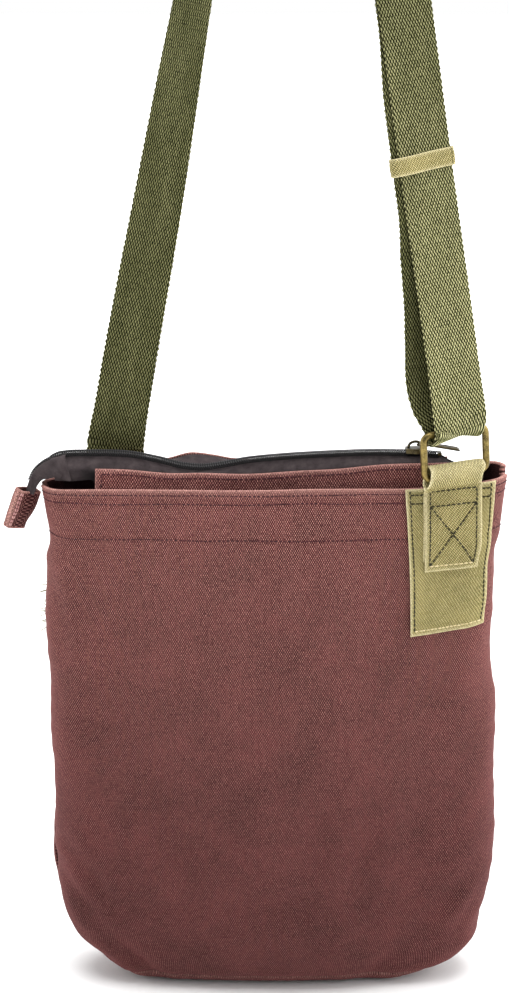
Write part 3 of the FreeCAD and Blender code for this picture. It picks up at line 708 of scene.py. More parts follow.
def panel(name, first, last, nodes):
    """One wall with its rolled hem, from the base seam to the rim."""
    shares = first + (last - first) * edged(0, HALF_WALL, 2.4, 1.2) / HALF_WALL
    low = BASE_SEAM - DEPTH + 0.15
    zs = np.concatenate([np.arange(low, -HEM - 3, 2.6), np.arange(-HEM - 2, -1.9, 0.85),
                         [-1.5, -1.15, -0.8, -0.5, -0.25, -0.08, 0.0]])
    T, Z = np.meshgrid(shares, zs)
    behind = np.where(Z > -HEM, 3.2, CANVAS) + np.zeros_like(Z)
    roll = np.sqrt(np.clip(1 - (np.clip(Z + 1.5, 0, 1.5) / 1.5) ** 2, 0.004, 1))
    middle = -behind / 2
    outer = wall(T, Z, middle * (1 - roll))
    inner = wall(T, Z, middle * (1 - roll) - behind * roll)
    worn = np.exp(-np.abs(Z) / 1.3) * 0.85 + 0.12 * bump(Z, -STITCH_ROWS[0], 1.5)
    seam = np.minimum(T - first, last - T) * CLOTH_WIDE
    worn = np.maximum(worn, 0.3 * np.exp(-np.abs(seam - 4.5) / 1.5))
    build = shell(Build(), outer, inner, np.stack([T * CLOTH_WIDE, Z], -1), worn)
    # painted shade: the inner face below the rim, away from the seams, is set to -1 and drawn
    # near-black
    build.shades[-1][worn.size:] = np.where((Z < -1.4) & (seam > 4), -1.0, worn).ravel()
    return build.piece(name, BURGUNDY, "bag", nodes, "burgundy_canvas")


panel("front_panel_canvas", 0.0012, 0.9988, ["front_panel", "front_facing"])
panel("rear_panel_canvas", 1.0012, 1.9988, ["rear_panel", "rear_facing"])


def make_base():
    hs = np.concatenate([np.linspace(BASE_SEAM - 0.15, 0.05, 8), -np.linspace(0.002, 1, 36)])[::-1]
    ts = np.linspace(0, 2, 300, endpoint=False)
    T, H = np.meshgrid(ts, hs)
    outer = wall(T, H - DEPTH)
    inner = wall(T, H - DEPTH, -CANVAS)
    flat = np.stack([outer[..., 0], outer[..., 1]], -1)
    worn = np.exp(-np.abs(H - BASE_SEAM) / 2) * 0.25
    build = shell(Build(), outer, inner, flat, worn, wrap=True)
    build.piece("base_canvas", BURGUNDY, "bag", ["base_panel"], "burgundy_canvas", weld=True)


make_base()

CRUMPLE = Ripple(6, 26)


def make_lining():
    hs = np.concatenate([-np.linspace(0, 1, 10)[::-1], np.arange(4, DEPTH - 14, 5.0)])
    ts = np.linspace(0, 2, 150, endpoint=False)
    T, H = np.meshgrid(ts, hs)
    slack = 0.8 * (1 + CRUMPLE(T * HALF_WALL, H)) * ease(DEPTH - 14, DEPTH - 40, H) + 3.5
    slack = slack + np.where(H <= 0, 1.0, 0)
    outer = wall(T, H - DEPTH, -slack)
    inner = wall(T, H - DEPTH, -slack - 0.8)
    build = shell(Build(), outer, inner, np.stack([T * HALF_WALL, H], -1), wrap=True)
    build.piece("lining_bag", LINING, "bag", ["lining_front", "lining_rear"], "lining_cloth",
                weld=True)


make_lining()


def row_points(low, high, step, level_at):
    """Points of a level line from low to high."""
    return np.linspace((low, level_at), (high, level_at), int((high - low) / step) + 2)


def share_surface(u, v, lift):
    """Wall by distance round the body instead of by share."""
    return wall(np.asarray(u) / HALF_WALL, v, lift)


def make_hem_stitches():
    build = Build()
    for index, row in enumerate(STITCH_ROWS):
        points = row_points(0.6, 2 * HALF_WALL - 0.6, 1.5, -row)
        points[:, 1] += 0.35 * SWELL(points[:, 0] * 1.3, index * 50.0)
        stitches(build, share_surface, points, pitch=3.2, radius=0.48, seed=20 + index)
    build.piece("hem_stitching", THREAD, "bag", slot="burgundy_canvas")


make_hem_stitches()

# --------------------------------------------------------------------- zip

ZIP_LEFT, ZIP_RIGHT = -140.0, 118.0
STRIP_LEFT = -116.0
# by x: the chain's height and its wander to the rear, and the heights of the two strips' tops
CHAIN_RUN = [(-157, 5.6), (-152, 10.8), (-147, 14.4), (-140, 17.6), (-130, 18.6), (-119, 18.7),
             (-106, 18.6), (-95, 18.0), (-75, 14.6), (-58, 10.6), (-46, 9.6), (-34, 11.0),
             (-15, 14.2), (10, 16.4), (40, 18.0), (70, 19.0), (96, 18.6), (112, 17.4), (118, 16.0)]
SIDEWAYS = [(-147, 0.4), (-118, 0.0), (-103, 0.0), (-80, -0.8), (-46, -2.6), (-10, -0.8),
            (40, 0.6), (96, 0.0), (118, 0.0)]
STRIP_TOP = [(-116, 9.6), (-100, 9.0), (-60, 6.6), (-20, 6.2), (20, 8.0), (60, 11.0), (95, 13.4),
             (118, 13.6)]
REAR_TOP = [(-116, 9.0), (-80, 10.4), (-68, 12.6), (-53, 16.0), (-38, 14.2), (-26, 12.2),
            (0, 11.4), (60, 12.0), (118, 13.0)]


def chain_z(x):
    return curve(x, CHAIN_RUN)


def chain_y(x):
    return curve(x, SIDEWAYS)


def strip_surface(side):
    top = STRIP_TOP if side < 0 else REAR_TOP

    def surface(u, v, lift):
        """u along the zip, v down from the strip's top edge."""
        z = curve(u, top) - v + 0.25 * np.sin(u / 9.0)
        out = 10.2 + 0.27 * v + 0.8 * np.sin(u / 17 + side) * ease(0, 14, v)
        out = out + 0.5 * np.sin(u / 6.1) * bump(v, 3.3, 4)
        out = out + 2.2 * ease(-70, -116, u) * ease(4, 20, v) + lift
        return np.stack([u + 0 * v, side * out, z], -1)
    return surface


def make_strips():
    for side, word in SIDES:
        surface = strip_surface(side)
        build = Build()
        us = edged(STRIP_LEFT, ZIP_RIGHT, 2.4, 2.0)
        vs = edged(0, 25, 1.6, 2.0)
        leaf(build, surface, us, vs, 2.0, shade=lambda u, v, e: np.exp(-e / 1.0) * 0.75)
        build.piece("zip_strip_" + word + "_canvas", BURGUNDY, "bag", ["zip_strip_" + word],
                    "burgundy_canvas")
        thread = Build()
        left, top = STRIP_LEFT + 4.2, 3.4
        up = np.linspace((left, 24.0), (left, top), 16)[:-1]
        points = np.concatenate([up, row_points(left, ZIP_RIGHT - 1, 2.0, top)])
        stitches(thread, surface, points, lift=1.02, seed=30 + side)
        thread.piece("zip_strip_" + word + "_stitching", THREAD, "bag", slot="burgundy_canvas")


make_strips()


def tape_surface(side):
    top = STRIP_TOP if side < 0 else REAR_TOP

    def surface(u, v, lift):
        """v runs 0 at the chain to 1 at the tape's hidden edge."""
        z0, y0 = chain_z(u) - 1.3 + 0.3 * side, chain_y(u) + side * 1.3
        free = ease(STRIP_LEFT + 5, STRIP_LEFT - 3, u)
        z1 = curve(u, top) - 1.0
        y1 = side * (8.4 + 0.4 * ease(-116, -145, u))
        loose = 1.2 + 0.5 * np.sin(u / 5)
        z2 = np.minimum(z1 - 11.0, -6.0) * (1 - free) + loose * free
        y2 = side * (12.4 - 3.4 * free)
        a = np.clip(v / 0.5, 0, 1)
        b = np.clip((v - 0.5) / 0.5, 0, 1)
        y = y0 + (y1 - y0) * a + (y2 - y1) * b
        z = z0 + (z1 - z0) * a ** 1.25 + (z2 - z1) * b
        z = z + 0.5 * np.sin(u / 7 + 2 * v) * a * (1 - b)
        z = z - 7.0 * np.clip((u - 112) / 16, 0, 1) ** 1.2 * (1 - b)
        leave = ease(-118, -140, u)
        y = y + side * leave * 0.5 * np.sin(math.pi * np.clip(v, 0, 1))
        dz = lift * (1 - 0.55 * a)
        dy = side * lift * (0.3 + 0.6 * a)
        return np.stack([u + 0 * v, y + dy, z + dz], -1)
    return surface


def make_tapes():
    for side, word in SIDES:
        build = Build()
        us = edged(ZIP_LEFT - 3, ZIP_RIGHT + 10, 2.0, 0.7)
        vs = np.concatenate([[0, 0.006, 0.02], np.linspace(0.05, 0.97, 22), [0.985, 1.0]])

        # darker next to the chain, and painted shade on the tape's lower part at the left, above the
        # dark mouth
        def shade(u, v, edge):
            return 0.6 * ease(0.16, 0.0, v) + 0.9 * ease(0.36, 0.72, v) * ease(-134, -116, u)
        leaf(build, tape_surface(side), us, vs, 0.7, round_v=False, shade=shade)
        build.uvs[-1] = build.uvs[-1] * [1.0, 26.0]
        build.piece("zip_tape_" + word + "_cloth", TAPE, "bag", ["zip_tape_" + word], "zip_tape")


make_tapes()

TOOTH_PITCH = 1.5
TOOTH_SHIFT = {-1: 0.0, 1: TOOTH_PITCH / 2}     # sets the rear row between the front row's teeth
CHAIN_TILT = 0.24                               # the front row hangs lower than the rear row
RIB_OUT = 4.2                                   # from the chain's middle to its stitch rib


def make_chain():
    """Two rows of moulded teeth that mesh along the zip's middle, each with its stitch rib."""
    for side, word in SIDES:
        xs = np.arange(-146.5, 110.0, TOOTH_PITCH) + TOOTH_SHIFT[side]
        across = np.array([3.4, 3.0, 1.7, 0.2, -0.9, -1.2])
        high = np.array([-0.7, 0.1, 0.6, 0.65, 0.4, 0.0])
        skew = np.array([0.75, 0.6, 0.25, -0.1, -0.3, -0.35])
        x = xs[:, None] + skew
        y = chain_y(x) + side * across
        z = chain_z(x) + high - 0.25 + CHAIN_TILT * side * across
        paths = np.stack([x, y, z], -1)
        build = Build()
        # the shade values paint a highlight along each tooth's middle
        tubes(build, paths, 7, np.array([0.36, 0.44, 0.44, 0.44, 0.48, 0.36]), UP,
              shade=np.array([0.0, 0.2, 1.0, 0.1, 0.0, 0.0])[None])
        rib_x = np.linspace(-147, 111, 330)
        drop = CHAIN_TILT * side * RIB_OUT - 0.3 - 0.1 * RIB_OUT
        rib = np.stack([rib_x, chain_y(rib_x) + side * RIB_OUT, chain_z(rib_x) + drop], -1)[None]
        pulse = 0.34 * (1 + 0.22 * np.sin(rib_x * 2 * math.pi / 2.1))
        tubes(build, rib, 7, pulse[None], UP)
        build.piece("zip_teeth_" + word, COIL, "bag", ["zip_coil_" + word], "zip_coil")


make_chain()


def rounded_box(build, low, high, radius, move=None, rows=3):
    """Soft-cornered block; move bends its points afterwards."""
    low, high = np.array(low, float), np.array(high, float)
    middle, half = (low + high) / 2, (high - low) / 2
    marks = []
    for k in range(3):
        arc = half[k] - radius + radius * np.sin(np.linspace(0, math.pi / 2, 5))
        flat = np.linspace(0, half[k] - radius, rows)[:-1]
        side = np.concatenate([flat, arc])
        marks.append(np.concatenate([-side[:0:-1], side]))
    for axis in range(3):
        a, b = (axis + 1) % 3, (axis + 2) % 3
        A, B = np.meshgrid(marks[a], marks[b])
        for sign in (-1, 1):
            p = np.zeros(A.shape + (3,))
            p[..., a], p[..., b], p[..., axis] = A, B, sign * half[axis]
            core = np.clip(p, -(half - radius), half - radius)
            p = core + unit(p - core) * radius + middle
            if move:
                p = move(p)
            build.add(p, grid_faces(*A.shape, flip=sign < 0))
    return build


SLIDER_X = 96.0
PULL_X, PULL_Z = 97.6, 23.2


def make_slider():
    """Cast slider: two plates, flanges and a looped bridge for the pull."""
    def taper(p):
        part = (p[..., 0] - SLIDER_X) / 7
        p = p.copy()
        p[..., 1] *= (1 + 0.16 * np.sin(np.clip(part + 0.5, 0, 1) * math.pi)
                      - 0.12 * ease(0.4, 1.0, part))
        p[..., 2] += -0.35 * ease(0.5, 1.0, part) * np.sign(p[..., 2] - 18.5)
        return p
    build = Build()
    low, high = SLIDER_X - 7, SLIDER_X + 7
    rounded_box(build, (low, -4.9, 20.1), (high, 4.9, 21.5), 0.6, taper)
    rounded_box(build, (low, -4.1, 14.4), (high, 4.1, 16.0), 0.6, taper)
    rounded_box(build, (SLIDER_X + 3, -0.8, 15.2), (SLIDER_X + 6, 0.8, 20.6), 0.3)
    for side in (-1, 1):
        flange = side * 4.5
        rounded_box(build, (low, flange - 0.45, 18.1), (SLIDER_X + 2, flange + 0.45, 20.9), 0.35,
                    taper)
    angle = np.linspace(0, math.pi, 17)
    arch_x = SLIDER_X - 0.4 - 4.3 * np.cos(angle) * (1 + 0.08 * np.cos(angle))
    arch_z = 21.1 + 4.5 * np.sin(angle) ** 0.75
    arch = np.stack([arch_x, 0 * angle, arch_z], -1)[None]
    tubes(build, arch, 8, 0.95, ACROSS_Y, squash=1.25)
    build.piece("zip_slider_casting", DARK_BRASS, "zip_slider", ["zip_slider_body"], "antique_brass",
                weld=True)


make_slider()


def make_pull():
    """Fork round the slider's bridge and a thin plate with a rib along its rim."""
    build = Build()
    turn = np.linspace(0, 2 * math.pi, 28, endpoint=False)
    eye = np.stack([4.2 + 4.9 * np.cos(turn), 2.45 * np.sin(turn) * (1 + 0.1 * np.cos(turn)),
                    0.15 - 0.1 * np.cos(turn)], -1)
    eye = eye + [PULL_X, 0, PULL_Z]
    tubes(build, eye[None], 8, 0.72, UP, closed=True)

    def droop(p):
        along = np.clip((p[..., 0] - PULL_X - 7) / 20, 0, 1)
        p = p.copy()
        p[..., 2] += -3.0 * along ** 1.2
        p[..., 1] *= 0.72 + 0.3 * np.sin(np.clip(along, 0, 1) * math.pi * 0.75)
        return p
    face = PULL_Z + 0.6
    rounded_box(build, (PULL_X + 7.2, -3.7, PULL_Z - 0.7), (PULL_X + 27.2, 3.7, face), 0.6, droop,
                rows=8)
    for side in (-1, 1):
        line = np.linspace((PULL_X + 9, side * 2.7, face), (PULL_X + 26, side * 2.7, face), 14)
        tubes(build, droop(line)[None], 6, 0.35, UP)
    build.piece("zip_pull_plate", DARK_BRASS, "zip_pull", ["zip_pull_tab"], "antique_brass", weld=True)


make_pull()


def make_stops():
    build = Build()
    for middle, sink in ((ZIP_LEFT - 8.4, 1.6), (111.6, 0.0)):
        z = float(chain_z(middle)) - sink
        rounded_box(build, (middle - 1.3, -3.6, z - 1.0), (middle + 1.3, 3.6, z + 1.1), 0.6)
    build.piece("zip_stop_staples", DARK_BRASS, "bag", ["zip_stops"], "antique_brass", weld=True)


make_stops()

# ------------------------------------------------------- zip tail and end tab

TAIL_SLOPE, TAIL_ROLL = math.radians(67), math.radians(-35)
TAIL_GIRTH = 46.0                               # cloth coordinates round the end tab
TAIL_START = np.array([-161.2, 0.0, -7.0])
TAIL_LENGTH = 28.0
TAIL_X = [(0, -136), (6, -142), (12, -147.5), (17, -152.2), (25, -157.6), (34, -161.4), (39, -163.0)]
TAIL_Z = [(0, 17.2), (6, 15.6), (12, 13.6), (17, 10.8), (25, 5.4), (34, -3.0), (39, -8.0)]


def tail_surface(u, v, lift):
    """Tape that leaves the zip's left end and bends down into the end tab.

    v runs along its spine, u from the spine down either flank."""
    x, z = curve(v, TAIL_X), curve(v, TAIL_Z)
    step = 0.4
    dx = curve(v + step, TAIL_X) - curve(v - step, TAIL_X)
    dz = curve(v + step, TAIL_Z) - curve(v - step, TAIL_Z)
    size = np.hypot(dx, dz) + 1e-9
    nx, nz = dz / size, -dx / size
    far = np.abs(u)
    off_spine, wide_start = ease(2, 8, far), ease(12, 0, v)
    narrow = 1 - 0.45 * ease(8, 34, v)
    flank = np.sign(u) * ((9.5 + 1.4 * wide_start) * (1 - np.exp(-far / 5.0))) * narrow
    hang = 0.10 * far + (0.86 + 0.42 * wide_start) * np.maximum(far - 4, 0) * off_spine
    hang = hang * (1 - 0.5 * ease(10, 36, v))
    crease = 0.5 * np.sin(u * 0.7 + v * 0.35) * ease(3, 9, far)
    reach = lift * (1 - 0.7 * off_spine)
    side = np.sign(u) * (lift * 0.85 * off_spine + crease)
    return np.stack([x + nx * (reach - hang), flank + side, z + nz * (reach - hang)], -1)


def make_tail_chain():
    """Short end of the chain that follows the tape over the left rim."""
    build = Build()
    for side in (-1, 1):
        vs = np.arange(11.0, 31.0, TOOTH_PITCH) + TOOTH_SHIFT[side]
        across = side * np.array([3.0, 1.7, 0.2, -0.9])
        U, V = np.broadcast_arrays(across, vs[:, None])
        paths = tail_surface(U, V, 0.9 + 0 * U)
        # the shade values paint a highlight along each tooth's middle
        tubes(build, paths, 6, np.array([0.36, 0.44, 0.44, 0.36]), UP,
              shade=np.array([0.3, 1.0, 0.2, 0.0])[None])
    obj = build.piece("zip_tail_teeth", COIL, None, slot="zip_coil")
    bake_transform(obj)


def make_tail():
    build = Build()
    us = edged(-15.5, 15.5, 1.0, 0.8)
    vs = np.linspace(0, 39, 28)
    U, V = np.meshgrid(us, vs)
    outer = tail_surface(U, V, 0.4)
    inner = tail_surface(U, V, -0.4)
    shell(build, outer, inner, np.stack([U, V], -1))
    obj = build.piece("zip_tail_cloth", TAPE, None, ["zip_tail_tape"], "zip_tape")
    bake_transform(obj)

    down = np.array([-math.cos(TAIL_SLOPE), 0, -math.sin(TAIL_SLOPE)])
    face = np.array([-math.sin(TAIL_SLOPE), 0, math.cos(TAIL_SLOPE)])
    side = ACROSS_Y * math.cos(TAIL_ROLL) + face * math.sin(TAIL_ROLL)
    top = face * math.cos(TAIL_ROLL) - ACROSS_Y * math.sin(TAIL_ROLL)

    def loop_point(u, v, lift):
        """u runs round the folded canvas, v down its length."""
        wide = 9.8 - 1.0 * ease(16, 25, v) + 0.4 * np.sin(v / 5)
        thick = 3.7 - 0.9 * ease(8, 25, v) + 0.25 * np.sin(v / 4 + u)
        a, b = np.cos(u), np.sin(u)
        p = np.sign(a) * np.abs(a) ** 0.45 * (wide + lift)
        q = np.sign(b) * np.abs(b) ** 0.45 * (thick + lift) + 0.2 * np.sin(v / 3)
        return (TAIL_START + down * np.asarray(v)[..., None] + side * p[..., None]
                + top * q[..., None])
    angle = np.linspace(0, 2 * math.pi, 64, endpoint=False)
    lengths = edged(0, TAIL_LENGTH, 1.3, 1.3)
    U, V = np.meshgrid(angle, lengths)
    edge = np.minimum(V, TAIL_LENGTH - V)
    pinch = np.sqrt(np.clip(1 - (1 - np.clip(edge / 0.8, 0, 1)) ** 2, 0.0, 1)) * 0.65
    outer = loop_point(U, V, pinch)
    inner = loop_point(U, V, -pinch)
    ridge = np.exp(-np.abs(np.mod(U + 0.2, math.pi) - 0.2) / 0.22) * 0.8
    worn = np.maximum(np.exp(-edge / 1.2), ridge)
    # painted shade: the tab's right face is set to -0.5 and drawn dark; worn here holds edge wear and
    # this painted shade
    shaded = (np.sin(U) < 0.2) & (np.cos(U) > -0.55) & (edge > 1.0)
    worn = np.where(shaded, -0.5, worn)
    build = Build()
    shell(build, outer, inner, np.stack([U / (2 * math.pi) * TAIL_GIRTH, V], -1), worn, wrap=True)
    build.piece("zip_end_tab_canvas", BURGUNDY, "zip_tail", ["zip_end_tab"], "burgundy_canvas")
    thread = Build()
    for at in (-math.pi / 2 - 1.02, -math.pi / 2 - 0.70):
        row = np.linspace((0, 1.5), (0, TAIL_LENGTH - 1.5), 20)
        stitches(thread, lambda u, v, lift: loop_point(at + 0 * v, v, lift), row,
                 pitch=2.7, length=2.0, radius=0.42, lift=0.72, seed=40)
    thread.piece("end_tab_stitching", PINK_THREAD, "zip_tail", slot="burgundy_canvas")


make_tail()
make_tail_chain()

# ---------------------------------------------------- patches, tab and ring

def patch_surface(mirror):
    """Patch laid on the wall; u runs 0 to 60 across it and v 0 to 98 down it.

    The rear one is the front one turned round to the other side."""
    def surface(u, v, lift):
        part = u / 60.0
        left = curve(v, [(0, 87.1), (35, 89.3), (70, 91.0), (98, 91.6)])
        right = 147.0 - 7.2 * v / 98 + 1.3 * np.sin(math.pi * np.clip(v / 98, 0, 1))
        right = right - lean_at(right, DEPTH - np.clip(v, 0, 98))
        x = left + (right - left) * part
        z = -0.3 - v + 3.5 * part * v / 98
        out = lift + 0.45 + 0.25 * np.sin(u / 5 + v / 9) * ease(0, 8, u) * ease(60, 52, u)
        out = out + 0.9 * np.exp(-u / 2.5)
        return wall(share_at(x, z + DEPTH) + (1 if mirror else 0), z, out)
    return surface


def inset_box(width, height, inset, top):
    """Three rows of points set in from the edges: down the left, along the bottom, up the right."""
    corners = [(inset, top), (inset, height - inset), (width - inset, height - inset),
               (width - inset, top)]
    return [np.linspace(a, b, int(np.hypot(*np.subtract(b, a)) / 1.5))
            for a, b in zip(corners, corners[1:])]


def make_patches():
    for mirror, word in ((False, "front"), (True, "rear")):
        surface = patch_surface(mirror)
        build = Build()
        leaf(build, surface, edged(0, 60, 1.5, 1.2), edged(0, 98, 1.5, 1.2), 1.2, 0.6,
             shade=lambda u, v, e: np.clip(1.3 * np.exp(-e / 0.8), 0, 1))
        build.piece(word + "_patch_canvas", OLIVE, "bag", [word + "_patch"], "olive_canvas")
        sides = inset_box(60, 98, 3.2, top=1.0)
        dark, pale = Build(), Build()
        for points in (sides[0], sides[2]):
            stitches(dark, surface, points, 3.0, 2.4, 0.52, 1.22, seed=50)
        for row in STITCH_ROWS[:2]:
            stitches(dark, surface, row_points(3.5, 57, 1.5, row + 0.2), 3.0, 2.5, 0.54, 1.22, seed=51)
        stitches(pale, surface, sides[1], 3.0, 2.4, 0.5, 1.22, seed=52)
        dark.piece(word + "_patch_stitching", OLIVE_THREAD, "bag", slot="olive_canvas")
        pale.piece(word + "_patch_pale_stitching", PALE_THREAD, "bag", slot="olive_canvas")


make_patches()

STRAP_TURN = math.radians(25)
RING_ACROSS = np.array([math.cos(STRAP_TURN), math.sin(STRAP_TURN), 0.0])
RING_FRONT = np.array([math.sin(STRAP_TURN), -math.cos(STRAP_TURN), 0.0])
RING_FOOT = np.array([119.3, -24.5, 8.5])
RING_HEIGHT = 29.0
RING_TILT = math.radians(4)                     # its left side hangs lower
RING_TOP = RING_FOOT + UP * RING_HEIGHT


RING_LIFT = 0.7
TAB_TOP_RUN = 41.0                              # canvas above the rim, over the ring's bar
TAB_DROP = 55.0                                 # length of the front leaf
# the tab's route seen from the ring's end: how far out and how high, by distance up from the rim
LOOP_OUT = [(-2, 3.4), (4, 4.8), (10, 5.2), (14, 4.6), (17.5, 1.4), (20.5, -1.8), (25, -4.8),
            (32, -4.3), (37, 0.2), (41, 1.9)]
LOOP_UP = [(-2, -2), (4, 4), (10, 10), (14, 13.9), (17.5, 16.0), (20.5, 15.6), (25, 11.6),
           (32, 4.8), (37, -0.4), (41, -4)]


def loop_profile(s):
    return np.array([curve(s, LOOP_OUT), curve(s, LOOP_UP)])


def tab_surface(u, v, lift):
    """u across the tab; v from the front leaf's bottom, up and over the bar, down the under leaf."""
    s = v - TAB_DROP
    out, up = loop_profile(s)
    under = s > TAB_TOP_RUN - 6
    z = np.where(s < 0, s, np.where(s > TAB_TOP_RUN, -4 - (s - TAB_TOP_RUN), up))
    aloft = ease(1, 14, s) * ease(40, 24, s)
    x = 117.1 + u * (1 + 0.07 * aloft) + 2.3 * aloft - 0.8 * ease(24, 40, s)
    on_wall = wall_x(x, np.minimum(z, -0.2), np.where(under, 2.15 - lift, 3.75 + lift))
    beside = x - RING_FOOT[0]
    centre = RING_FOOT + RING_ACROSS * (beside / math.cos(STRAP_TURN))[..., None]
    d_out, d_up = loop_profile(s + 0.6) - loop_profile(s - 0.6)
    length = np.hypot(d_out, d_up) + 1e-9
    off = out + lift * d_up / length
    rise = up - lift * d_out / length
    wave = 0.35 * np.sin(u / 5.0 + s / 6)
    in_air = centre + RING_FRONT * (off + wave)[..., None]
    in_air[..., 2] = rise + RING_LIFT + 0.03 * beside
    free = np.where(s < 12, ease(-1, 8, s), ease(TAB_TOP_RUN + 1, TAB_TOP_RUN - 8, s))[..., None]
    return on_wall * (1 - free) + in_air * free


def make_ring_tab():
    build = Build()
    total = TAB_DROP + TAB_TOP_RUN + 44
    us = edged(-17.3, 17.3, 1.4, TAB)
    vs = edged(0, total, 1.1, TAB)

    def worn(u, v, edge):
        side = np.minimum(u + 17.3, 17.3 - u)
        # painted highlight: the top of the loop over the ring's bar is paler
        loop_top_highlight = 0.35 * bump(v, TAB_DROP + 16, 9)
        return np.clip(1.2 * np.exp(-np.minimum(side, edge) / 0.8) + loop_top_highlight, 0, 1)
    leaf(build, tab_surface, us, vs, TAB, shade=worn)
    obj = build.piece("ring_tab_canvas", OLIVE, None, ["ring_tab"], "olive_canvas")
    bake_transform(obj)

    dark, pale = Build(), Build()
    on_face = TAB / 2 + 0.02
    left, right, low, high, top = -14.3, 14.0, 3.6, TAB_DROP - 12.0, TAB_DROP - 2.2
    for a, b in (((left, low), (left, top)), ((right, low), (right, top)),
                 ((left, high), (right, high)), ((left, top), (right, top)),
                 ((left, low), (right, high)), ((left, high), (right, low))):
        stitches(dark, tab_surface, np.linspace(a, b, 24), 2.9, 2.4, 0.52, on_face, seed=60)
    row = np.linspace((left, low), (right, low), 24)
    stitches(pale, tab_surface, row, 2.9, 2.3, 0.5, on_face, seed=61)
    under = TAB_DROP + TAB_TOP_RUN
    row = np.linspace((-15.8, under + 2), (-15.8, under + 34), 24)
    stitches(pale, tab_surface, row, 2.7, 2.0, 0.34, -on_face, seed=62)
    dark.piece("ring_tab_stitching", OLIVE_THREAD, "bag", slot="olive_canvas")
    pale.piece("ring_tab_pale_stitching", PALE_THREAD, "bag", slot="olive_canvas")


make_ring_tab()


def make_ring():
    """Bent wire rectangle with its welded joint on the back of the lower bar."""
    half, high, corner = 23.25, RING_HEIGHT, 5.0
    points = []
    middles = [(half - corner, high - corner, 0), (-half + corner, high - corner, 90),
               (-half + corner, corner, 180), (half - corner, corner, 270)]
    for x, z, start in middles:
        for step in np.linspace(0, 90, 13):
            angle = math.radians(start + step)
            points.append((x + corner * math.cos(angle), z + corner * math.sin(angle)))
    points = np.array(points + points[:1])
    run = np.concatenate([[0], np.cumsum(np.hypot(*np.diff(points, axis=0).T))])
    at = np.linspace(0, run[-1], 220, endpoint=False)
    x, z = np.interp(at, run, points[:, 0]), np.interp(at, run, points[:, 1])
    x, z = [(np.roll(k, 1) + 2 * k + np.roll(k, -1)) / 4 for k in (x, z)]
    lean_x = x * math.cos(RING_TILT) - (z - high / 2) * math.sin(RING_TILT)
    lean_z = high / 2 + (z - high / 2) * math.cos(RING_TILT) + x * math.sin(RING_TILT)
    path = RING_FOOT + UP * RING_LIFT + RING_ACROSS * lean_x[:, None] + UP * lean_z[:, None]
    weld = bump(z, 0, 1.0) * bump(x, -9, 1.1)
    radius = 2.4 + 0.22 * weld - 0.12 * bump(z, 0, 1.0) * bump(x, -9, 0.35)
    build = Build()
    tubes(build, path[None], 20, radius[None], RING_FRONT, closed=True)
    build.piece("strap_ring_wire", BRASS, "ring", ["strap_ring"], "antique_brass")


make_ring()

# ------------------------------------------------------------------ webbing

HANG_X, HANG_HEIGHT, HANG_RADIUS = 20.0, 565.0, 24.0
START_RISE, START_ASIDE = 6.5, 1.5
LOOP_MIDDLE = 2.85 + WEBBING / 2
LEFT_START = np.array([-105.4, 26.4, 17.5])
RIGHT_START = RING_TOP + RING_FRONT * LOOP_MIDDLE + RING_ACROSS * START_ASIDE + UP * START_RISE
BEND_CENTRE = np.array([HANG_X, 0.0, HANG_HEIGHT - HANG_RADIUS])
BEND_MIDDLE = HANG_RADIUS + WEBBING / 2
TWIST_START = 428.0                             # height where the right run starts to turn
SEWN_DROP = 55.0                                # length of the strap's end on the rear patch
LEFT_TURN, LEFT_TWIST = (-14.0, -90.0), 1.3     # degrees at the left run's two ends, and how late
LOOP_SAG, LOOP_TILT = -0.8, 0.25                # slack of the turn round the ring, lower at the left
KNOT_ACROSS, KNOT_ALONG = 2.0, 4.0              # the webbing's weave repeats
COLUMN, ROW = 0.5, 0.55                         # spacing of the points that carry it


def tangent_angle(start, side):
    across, down = start[0] - BEND_CENTRE[0], start[2] - BEND_CENTRE[2]
    lean = math.acos(BEND_MIDDLE / math.hypot(across, down))
    return math.atan2(down, across) + side * lean


def bend_at(angle):
    angle = np.asarray(angle, float)
    return BEND_CENTRE + BEND_MIDDLE * np.stack([np.cos(angle), 0 * angle, np.sin(angle)], -1)


RIGHT_ANGLE = tangent_angle(RIGHT_START, 1)
LEFT_ANGLE = tangent_angle(LEFT_START, -1)
RIGHT_END, LEFT_END = bend_at(RIGHT_ANGLE), bend_at(LEFT_ANGLE)
RIGHT_RUN = unit(RIGHT_END - RIGHT_START)


def turned(angle):
    """Level width direction, turned about the vertical."""
    angle = np.asarray(angle, float)
    return np.stack([np.cos(angle), np.sin(angle), 0 * angle], -1)


def resample(path, hints, step):
    run = np.concatenate([[0], np.cumsum(np.linalg.norm(np.diff(path, axis=0), axis=1))])
    at = np.linspace(0, run[-1], int(round(run[-1] / step)) + 1)
    return (np.stack([np.interp(at, run, path[:, k]) for k in range(3)], -1),
            np.stack([np.interp(at, run, hints[:, k]) for k in range(3)], -1), at)


def smooth(path, times):
    """Ends stay where they are."""
    path = path.copy()
    for _ in range(times):
        path[1:-1] = (path[:-2] + 2 * path[1:-1] + path[2:]) / 4
    return path


